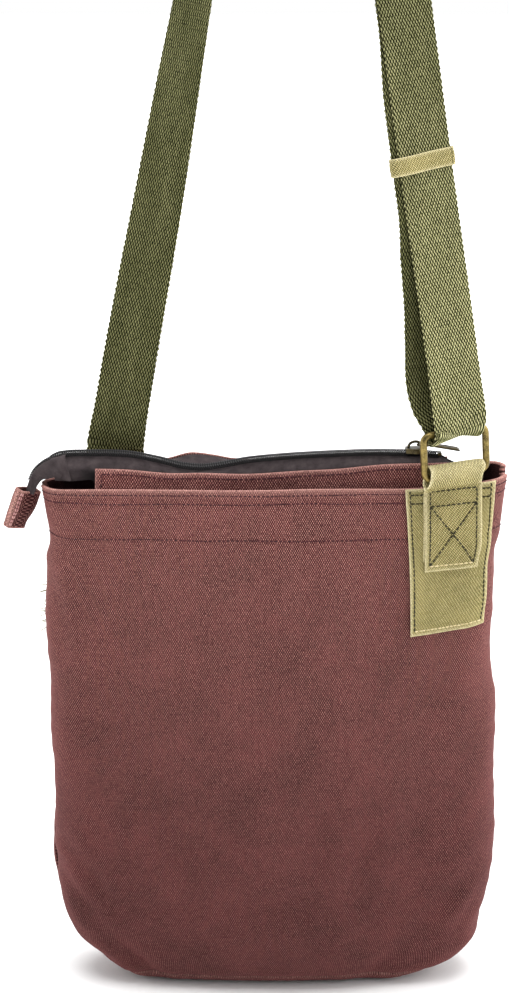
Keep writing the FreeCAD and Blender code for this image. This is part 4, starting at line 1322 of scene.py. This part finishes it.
def ribbon(path, hints, pieces, fade, times=0, start=0.0, seed=0, spread=0.0, skew=None):
    """Webbing along a path, knots in relief on both faces and ragged selvedges.

    pieces holds (name, body, nodes, first, last), first and last being distances along
    the path. fade gives the yarn's paleness, skew how far a column moves up or down."""
    path, hints, at = resample(path, hints, ROW)
    path, hints = smooth(path, times), smooth(hints, times)
    along = unit(np.gradient(path, axis=0))
    across = unit(hints - along * np.sum(hints * along, -1, keepdims=True))
    face = np.cross(along, across)
    half = WEBBING_WIDTH / 2
    columns = np.concatenate([[-half, -half + 0.25], np.arange(-half + COLUMN, half - 0.4, COLUMN),
                              [half - 0.25, half]])
    rng = np.random.default_rng(SEED + 70 + seed)
    v = (at + start)[:, None] + 0.25 * np.sin(columns / 6 + at[:, None] / 40)
    knots = np.cos(2 * math.pi * columns / KNOT_ACROSS) * np.cos(2 * math.pi * v / KNOT_ALONG)
    yarn = rng.normal(0, 0.10, knots.shape)
    high = np.clip(0.5 + 0.62 * knots + yarn, 0, 1.1)
    back = np.clip(0.5 - 0.62 * knots + yarn[::-1], 0, 1.1)
    edge = np.minimum(columns + half, half - columns)
    thick = (WEBBING / 2 - 0.42) * np.sqrt(np.clip(1 - (1 - np.clip(edge / 0.9, 0, 1)) ** 2, 0.05, 1))
    amount = 0.50 * np.clip(edge / 0.8, 0.15, 1)
    jag = np.cos(2 * math.pi * (at + start) / KNOT_ALONG)[:, None] + rng.normal(0, 0.35, (len(at), 1))
    broad = 1 + spread * ease(95, 68, at)[:, None]
    x = columns * broad + 0.34 * jag * np.exp(-edge / 0.5) * np.sign(columns)
    x = x + 0.25 * np.sin((at + start) / 31)[:, None]
    cup = 0.25 * np.cos(columns / half * math.pi / 2) * np.sin(at / 57 + start)[:, None]
    centre = path[:, None] + across[:, None] * x[..., None] + face[:, None] * cup[..., None]
    if skew:
        centre[..., 2] += skew(at, at[-1])[:, None] * columns
    outer = centre + face[:, None] * (thick + amount * high)[..., None]
    inner = centre - face[:, None] * (thick + amount * back)[..., None]
    uv = np.stack(np.broadcast_arrays(columns + 0 * at[:, None], (at + start)[:, None]), -1)
    pale = fade(centre)
    made = []
    for name, body, nodes, first, last in pieces:
        cut = slice(int(round(first / ROW)), None if last is None else int(round(last / ROW)) + 1)
        build = Build()
        shell(build, outer[cut], inner[cut], uv[cut])
        build.shades[-1] = np.concatenate([high[cut].ravel(), back[cut].ravel()])
        obj = build.piece(name, WEB, body, nodes, "olive_webbing")
        layer = obj.data.attributes.new("fade", "FLOAT", "POINT")
        layer.data.foreach_set("value", np.tile(pale[cut].ravel(), 2).astype(np.float32))
        made.append(obj)
    return made


def straight(first, last):
    return np.linspace(first, last, int(np.linalg.norm(last - first) / 4.0) + 2)


def sewn_surface(u, v, lift):
    """Strap's end on the rear patch; u across it, v down from the rim."""
    z = -np.asarray(v, float)
    return wall(2 - share_at(LEFT_START[0] + u, z + DEPTH), z, 2.9 + lift)


def make_strap():
    """One strip off the rear patch, up the left, over the top, down the right, round the bar."""
    drop = np.linspace(SEWN_DROP - 4.0, 0.5, 26)
    on_wall = sewn_surface(0 * drop, drop, 0.0)
    wall_hints = unit(sewn_surface(6 + 0 * drop, drop, 0.0) - sewn_surface(0 * drop - 6, drop, 0.0))
    neck = LEFT_START * [1, 1, 0] + UP * np.linspace(4, 16, 8)[:, None]
    neck_turn = np.radians(LEFT_TURN[0]) * np.linspace(0.2, 1, 8)
    left = straight(LEFT_START, LEFT_END)
    part = np.linspace(0, 1, len(left))
    left_turn = np.radians(LEFT_TURN[0] + (LEFT_TURN[1] - LEFT_TURN[0]) * part ** LEFT_TWIST)
    over = bend_at(np.linspace(LEFT_ANGLE % (2 * math.pi), RIGHT_ANGLE, 60))
    right = straight(RIGHT_END, RIGHT_START)
    rise = ease(TWIST_START, HANG_HEIGHT - 30, right[:, 2])
    right_turn = STRAP_TURN + (math.pi / 2 - STRAP_TURN) * rise
    angle = np.linspace(0, math.pi, 28)
    slack = np.sin(angle)
    aside = START_ASIDE * (1 - ease(0, 1, angle))
    turn = (RING_TOP + RING_FRONT * (LOOP_MIDDLE * np.cos(angle))[:, None]
            - UP * ((LOOP_MIDDLE + LOOP_SAG) * slack)[:, None] + RING_ACROSS * aside[:, None])
    tail = RING_TOP - RING_FRONT * LOOP_MIDDLE + UP * np.linspace(0.5, 3.2, 4)[:, None]
    path = np.concatenate([on_wall, neck, left[:-1], over[:-1], right, turn, tail])
    hints = np.concatenate([
        wall_hints, turned(neck_turn), turned(left_turn)[:-1], np.tile(-ACROSS_Y, (len(over) - 1, 1)),
        -turned(right_turn), np.tile(-RING_ACROSS, (len(turn) + len(tail), 1))])

    # paler on the right run, most towards its lower end; the left run stays at 0.06
    def fade(p):
        right_side = ease(20, 60, p[..., 0])
        low = 1 - ease(60, 330, p[..., 2])
        return right_side * (0.30 + 0.70 * low) + (1 - right_side) * 0.06
    sewn_part = path[:len(on_wall) + len(neck) + 1]
    cut = float(np.sum(np.linalg.norm(np.diff(sewn_part, axis=0), axis=1))) + 0.5
    pieces = [("strap_sewn_webbing", None, ["strap_sewn_end"], 0, cut),
              ("strap_webbing", "strap", ["strap_left_run", "strap_top_bend", "strap_right_run",
                                          "strap_ring_loop"], cut, None)]
    sewn, body = ribbon(path, hints, pieces, fade, times=4, spread=0.05,
                        skew=lambda at, end: -LOOP_TILT * ease(64, 14, end - at))
    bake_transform(sewn)
    thread = Build()
    top, low, side = 4, SEWN_DROP - 9, 16
    box = [(-side, top), (side, top), (side, low), (-side, low), (-side, top), (side, low)]
    for a, b in zip(box, box[1:]):
        stitches(thread, sewn_surface, np.linspace(a, b, 24), 2.8, 2.2, 0.4, 0.98, seed=80)
    row = np.linspace((side, top), (-side, low), 24)
    stitches(thread, sewn_surface, row, 2.8, 2.2, 0.4, 0.98, seed=81)
    thread.piece("strap_end_stitching", OLIVE_THREAD, "bag", slot="olive_webbing")


make_strap()

RIGHT_ACROSS = unit(RING_ACROSS - RIGHT_RUN * (RING_ACROSS @ RIGHT_RUN))
RIGHT_REAR = np.cross(RIGHT_RUN, RIGHT_ACROSS)
KEEPER_AT = (172.5 - START_RISE) / RIGHT_RUN[2]
ADJUSTER_AT = (320.0 - START_RISE) / RIGHT_RUN[2]
PLY_STEP = WEBBING + 0.3
BACK_TOP = ADJUSTER_AT - 38.5
BAR = 3.0                                       # thickness of the adjuster's bars
# the rear layer by distance up the strap: how far behind the front layer, how far to its left
BACK = [(-3.2, 2 * LOOP_MIDDLE), (6, 10.0), (16, 14.4), (30, 16.4), (52, 13.6), (90, 6.8),
        (120, 3.2), (140, PLY_STEP), (240, PLY_STEP), (BACK_TOP, PLY_STEP + 0.2)]
SHIFT = [(-3.2, 1.5), (6, 4.0), (16, 7.0), (30, 8.2), (54, 7.0), (80, 6.2), (107, 6.2),
         (130, 4.6), (145, 4.2), (200, 4.2), (250, 0.8), (BACK_TOP, 0)]


def on_run(along, across=0.0, rear=0.0):
    """Points on the doubled strap by distance up it, to its right and behind it."""
    along, across, rear = [np.asarray(k, float)[..., None] for k in (along, across, rear)]
    return RIGHT_START + RIGHT_RUN * along + RIGHT_ACROSS * across + RIGHT_REAR * rear


def make_back_layer():
    s = np.linspace(-3.2, BACK_TOP, 90)
    path = on_run(s, -curve(s, SHIFT), curve(s, BACK))
    hints = np.tile(RIGHT_ACROSS, (len(s), 1))
    pieces = [("strap_back_webbing", None, ["strap_back_layer"], 0, None)]
    obj = ribbon(path, hints, pieces, lambda p: 0 * p[..., 0], times=10, start=3.0, seed=1,
                 skew=lambda at, end: LOOP_TILT * ease(50, 2, at))[0]
    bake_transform(obj)


make_back_layer()


def make_end_fold():
    """Strap's end turned round the adjuster's middle bar and sewn to itself."""
    reach = BAR / 2 + 0.3 + WEBBING / 2
    bar = PLY_STEP + reach
    top = ADJUSTER_AT
    front = on_run(np.linspace(top - 36, top, 12), 0, bar - reach)
    angle = np.linspace(0, math.pi, 18)[1:-1]
    around = on_run(top + reach * np.sin(angle), 0, bar - reach * np.cos(angle))
    down = np.linspace(0, 30, 12)
    lay = [(0, bar + reach), (12, bar + 0.9), (30, bar - reach + 2 * WEBBING - 0.3)]
    back = on_run(top - down, 0, curve(down, lay))
    path = np.concatenate([front, around, back])
    hints = np.tile(RIGHT_ACROSS, (len(path), 1))
    pieces = [("strap_fold_webbing", "adjuster", ["strap_end_fold"], 0, None)]
    ribbon(path, hints, pieces, lambda p: 0.3 + 0 * p[..., 0], times=4, seed=2)
    thread = Build()

    def surface(u, v, lift):
        return on_run(top - v, u, bar - reach + WEBBING * 2.35 + lift)
    for v in (18, 26):
        stitches(thread, surface, np.linspace((-17, v), (17, v), 20), 2.8, 2.2, 0.4, 0.0, seed=90)
    thread.piece("strap_fold_stitching", OLIVE_THREAD, "adjuster", slot="olive_webbing")


make_end_fold()


def make_keeper():
    """Folded canvas band round both layers, made as one closed band without the lap and seam of its
    ends at the back.
    """
    left, right, half_high = -24.0, 20.3, 5.75
    front, rear = -WEBBING / 2 - 1.2, PLY_STEP + WEBBING / 2 + 1.2
    middle_x, middle_y = (left + right) / 2, (front + rear) / 2
    half_x, half_y, corner = (right - left) / 2, (rear - front) / 2, 2.2
    outline = []
    for sx, sy, start in ((1, -1, -90), (1, 1, 0), (-1, 1, 90), (-1, -1, 180)):
        for step in np.linspace(0, 90, 7):
            angle = math.radians(start + step)
            outline.append((middle_x + sx * (half_x - corner) + corner * math.cos(angle),
                            middle_y + sy * (half_y - corner) + corner * math.sin(angle)))
    outline = np.array(outline + outline[:1])
    run = np.concatenate([[0], np.cumsum(np.hypot(*np.diff(outline, axis=0).T))])
    girth = run[-1]

    def around(u):
        return np.array([np.interp(np.mod(u, girth), run, outline[:, k]) for k in (0, 1)])

    def surface(u, v, lift):
        """u round the band from its front right corner, v up it."""
        x, y = around(u)
        dx, dy = around(u + 0.5) - around(u - 0.5)
        size = np.hypot(dx, dy) + 1e-9
        lift = lift + 0.2 * np.cos(v / half_high * math.pi / 2)
        up = KEEPER_AT + v + 0.045 * x + 0.15 * np.sin(u / 6)
        return on_run(up, x + lift * dy / size, y - lift * dx / size)
    build = Build()
    us = np.linspace(0, girth, 150, endpoint=False)
    vs = edged(-half_high, half_high, 0.8, 1.3)
    U, V = np.meshgrid(us, vs)
    edge = np.minimum(V - vs[0], vs[-1] - V)
    half = 0.65 * np.sqrt(np.clip(1 - (1 - np.clip(edge / 0.65, 0, 1)) ** 2, 0.003, 1))
    groove = 0.3 * bump(np.abs(V), 3.4, 0.5)
    shell(build, surface(U, V, half - groove), surface(U, V, -half), np.stack([U, V], -1),
          np.clip(1.2 * np.exp(-edge / 0.7), 0, 1), wrap=True)
    build.piece("strap_keeper_canvas", OLIVE, "keeper", ["strap_keeper"], "olive_canvas")


make_keeper()


def make_adjuster():
    """Cast three-bar slider: soft-cornered legs, two front bars and one set back."""
    build = Build()
    inner, bar = WEBBING_WIDTH / 2 + 0.8, BAR / 2
    front = -WEBBING / 2 - 0.5 - bar
    back = PLY_STEP + WEBBING / 2 + 0.3 + bar
    xs = np.linspace(-inner - bar, inner + bar, 24)
    for y, along in ((front, -11.5), (front, 11.5), (back, 0)):
        tubes(build, on_run(ADJUSTER_AT + along, xs, y)[None], 14, bar, RIGHT_REAR)

    def move(p):
        return on_run(ADJUSTER_AT + p[..., 2], p[..., 0], p[..., 1])
    for side in (-1, 1):
        middle = side * (inner + bar)
        rounded_box(build, (middle - bar, front - bar, -13), (middle + bar, back + bar, 13), 1.2, move)
    build.piece("adjuster_casting", BRASS, "adjuster", ["adjuster_frame"], "antique_brass", weld=True)


make_adjuster()


def make_fringe():
    """Loose warp threads at the rear patch's cut edge, on the left."""
    rng = np.random.default_rng(SEED + 99)
    count, steps = 26, 9
    part = np.linspace(0, 1, steps)
    z = np.linspace(-78, -101, count)[:, None] + rng.normal(0, 0.6, (count, 1))
    length = rng.uniform(7, 13, (count, 1))
    lean, curl = rng.normal(0, 0.35, (count, 1)), rng.normal(0, 1.6, (count, 1))
    x = -137 - (length + 9) * part
    z = z + length * part * lean + curl * np.sin(part * 4.2)
    paths = wall_back(np.maximum(x, -146.0), z, 0.8 + 0 * x)
    paths[..., 0] += np.minimum(x + 146.0, 0)
    paths[..., 1] -= 2.5 * part + rng.normal(0, 1.2, (count, 1)) * part
    build = Build()
    tubes(build, paths, 6, 0.55 * (1 - 0.5 * part), np.array([0, 1.0, 0.2]),
          shade=rng.uniform(0.4, 1, (count, 1)))
    build.piece("frayed_threads", FRAY_THREAD, "bag", ["fringe_threads"], "olive_canvas")


make_fringe()


# ------------------------------------------------------- floor, light, camera

FLOOR_REACH = 400.0
DARK_FRONT = (-0.8, 0.2, 0.21, 1.0)             # the world's light from the front to the back
WINGS = ((-1, 1.3), (1, 2.8))                   # extra light from the left and the right
# name, strength, spread in degrees and where it stands
SUNS = (("key", 0.55, 45, (0.75, -0.55, 0.95)), ("overhead", 3.0, 50, (0.0, 0.0, 1.0)))


def make_world():
    world = bpy.data.worlds.new("studio")
    bpy.context.scene.world = world
    world.use_nodes = True
    tree = world.node_tree
    background = tree.nodes["Background"]
    background.inputs[0].default_value = (1.0, 1.0, 1.0, 1)

    def ramp(value, *numbers):
        made = tree.nodes.new("ShaderNodeMapRange")
        for key, number in zip(("From Min", "From Max", "To Min", "To Max"), numbers):
            made.inputs[key].default_value = number
        tree.links.new(value, made.inputs["Value"])
        return made.outputs[0]
    where = tree.nodes.new("ShaderNodeTexCoord").outputs["Generated"]
    split = tree.nodes.new("ShaderNodeSeparateXYZ")
    tree.links.new(where, split.inputs[0])
    strength = ramp(split.outputs[1], *DARK_FRONT)
    for side, power in WINGS:
        total = tree.nodes.new("ShaderNodeMath")
        tree.links.new(strength, total.inputs[0])
        wing = ramp(split.outputs[0], side * 0.60, side * 0.92, 0.0, power)
        tree.links.new(wing, total.inputs[1])
        strength = total.outputs[0]
    tree.links.new(strength, background.inputs[1])


def make_stage():
    size = FLOOR_REACH
    z = BASE_LOW.z - 0.0012                     # just under the base canvas
    mesh = bpy.data.meshes.new("floor")
    corners = [(-size, -size, z), (size, -size, z), (size, size, z), (-size, size, z)]
    mesh.from_pydata(corners, [], [(0, 1, 2, 3)])
    floor = bpy.data.objects.new("floor", mesh)
    bpy.context.scene.collection.objects.link(floor)
    n = Nodes("pale_floor")
    tone = n.noise(n.space(), 3.0, 3, 0.5)
    mesh.materials.append(n.finish(n.mix(tone, *FLOOR_TONES), 0.7, specular=0.2))
    make_world()
    for name, energy, spread, towards in SUNS:
        sun = bpy.data.lights.new(name, "SUN")
        sun.energy = energy
        sun.angle = math.radians(spread)
        lamp = bpy.data.objects.new(name, sun)
        bpy.context.scene.collection.objects.link(lamp)
        lamp.rotation_euler = (-Vector(towards)).to_track_quat("-Z", "Y").to_euler()
    bpy.context.scene.view_settings.view_transform = "Standard"


CAMERA_RISE = math.radians(14.5)
CAMERA_AWAY = 1250.0
CAMERA_AIM = np.array([-11.0, 0.0, -12.0])
CAMERA_LENS, CAMERA_SENSOR = 67.97, 36.0


def make_camera():
    camera = bpy.data.cameras.new("camera")
    camera.lens = CAMERA_LENS
    camera.sensor_width = CAMERA_SENSOR
    camera.clip_start = 0.01
    obj = bpy.data.objects.new("camera", camera)
    bpy.context.scene.collection.objects.link(obj)
    away = CAMERA_AWAY * np.array([0, -math.cos(CAMERA_RISE), math.sin(CAMERA_RISE)])
    obj.location = place(CAMERA_AIM + away)
    obj.rotation_euler = (math.pi / 2 - CAMERA_RISE, 0, 0)
    bpy.context.scene.camera = obj


make_stage()
make_camera()
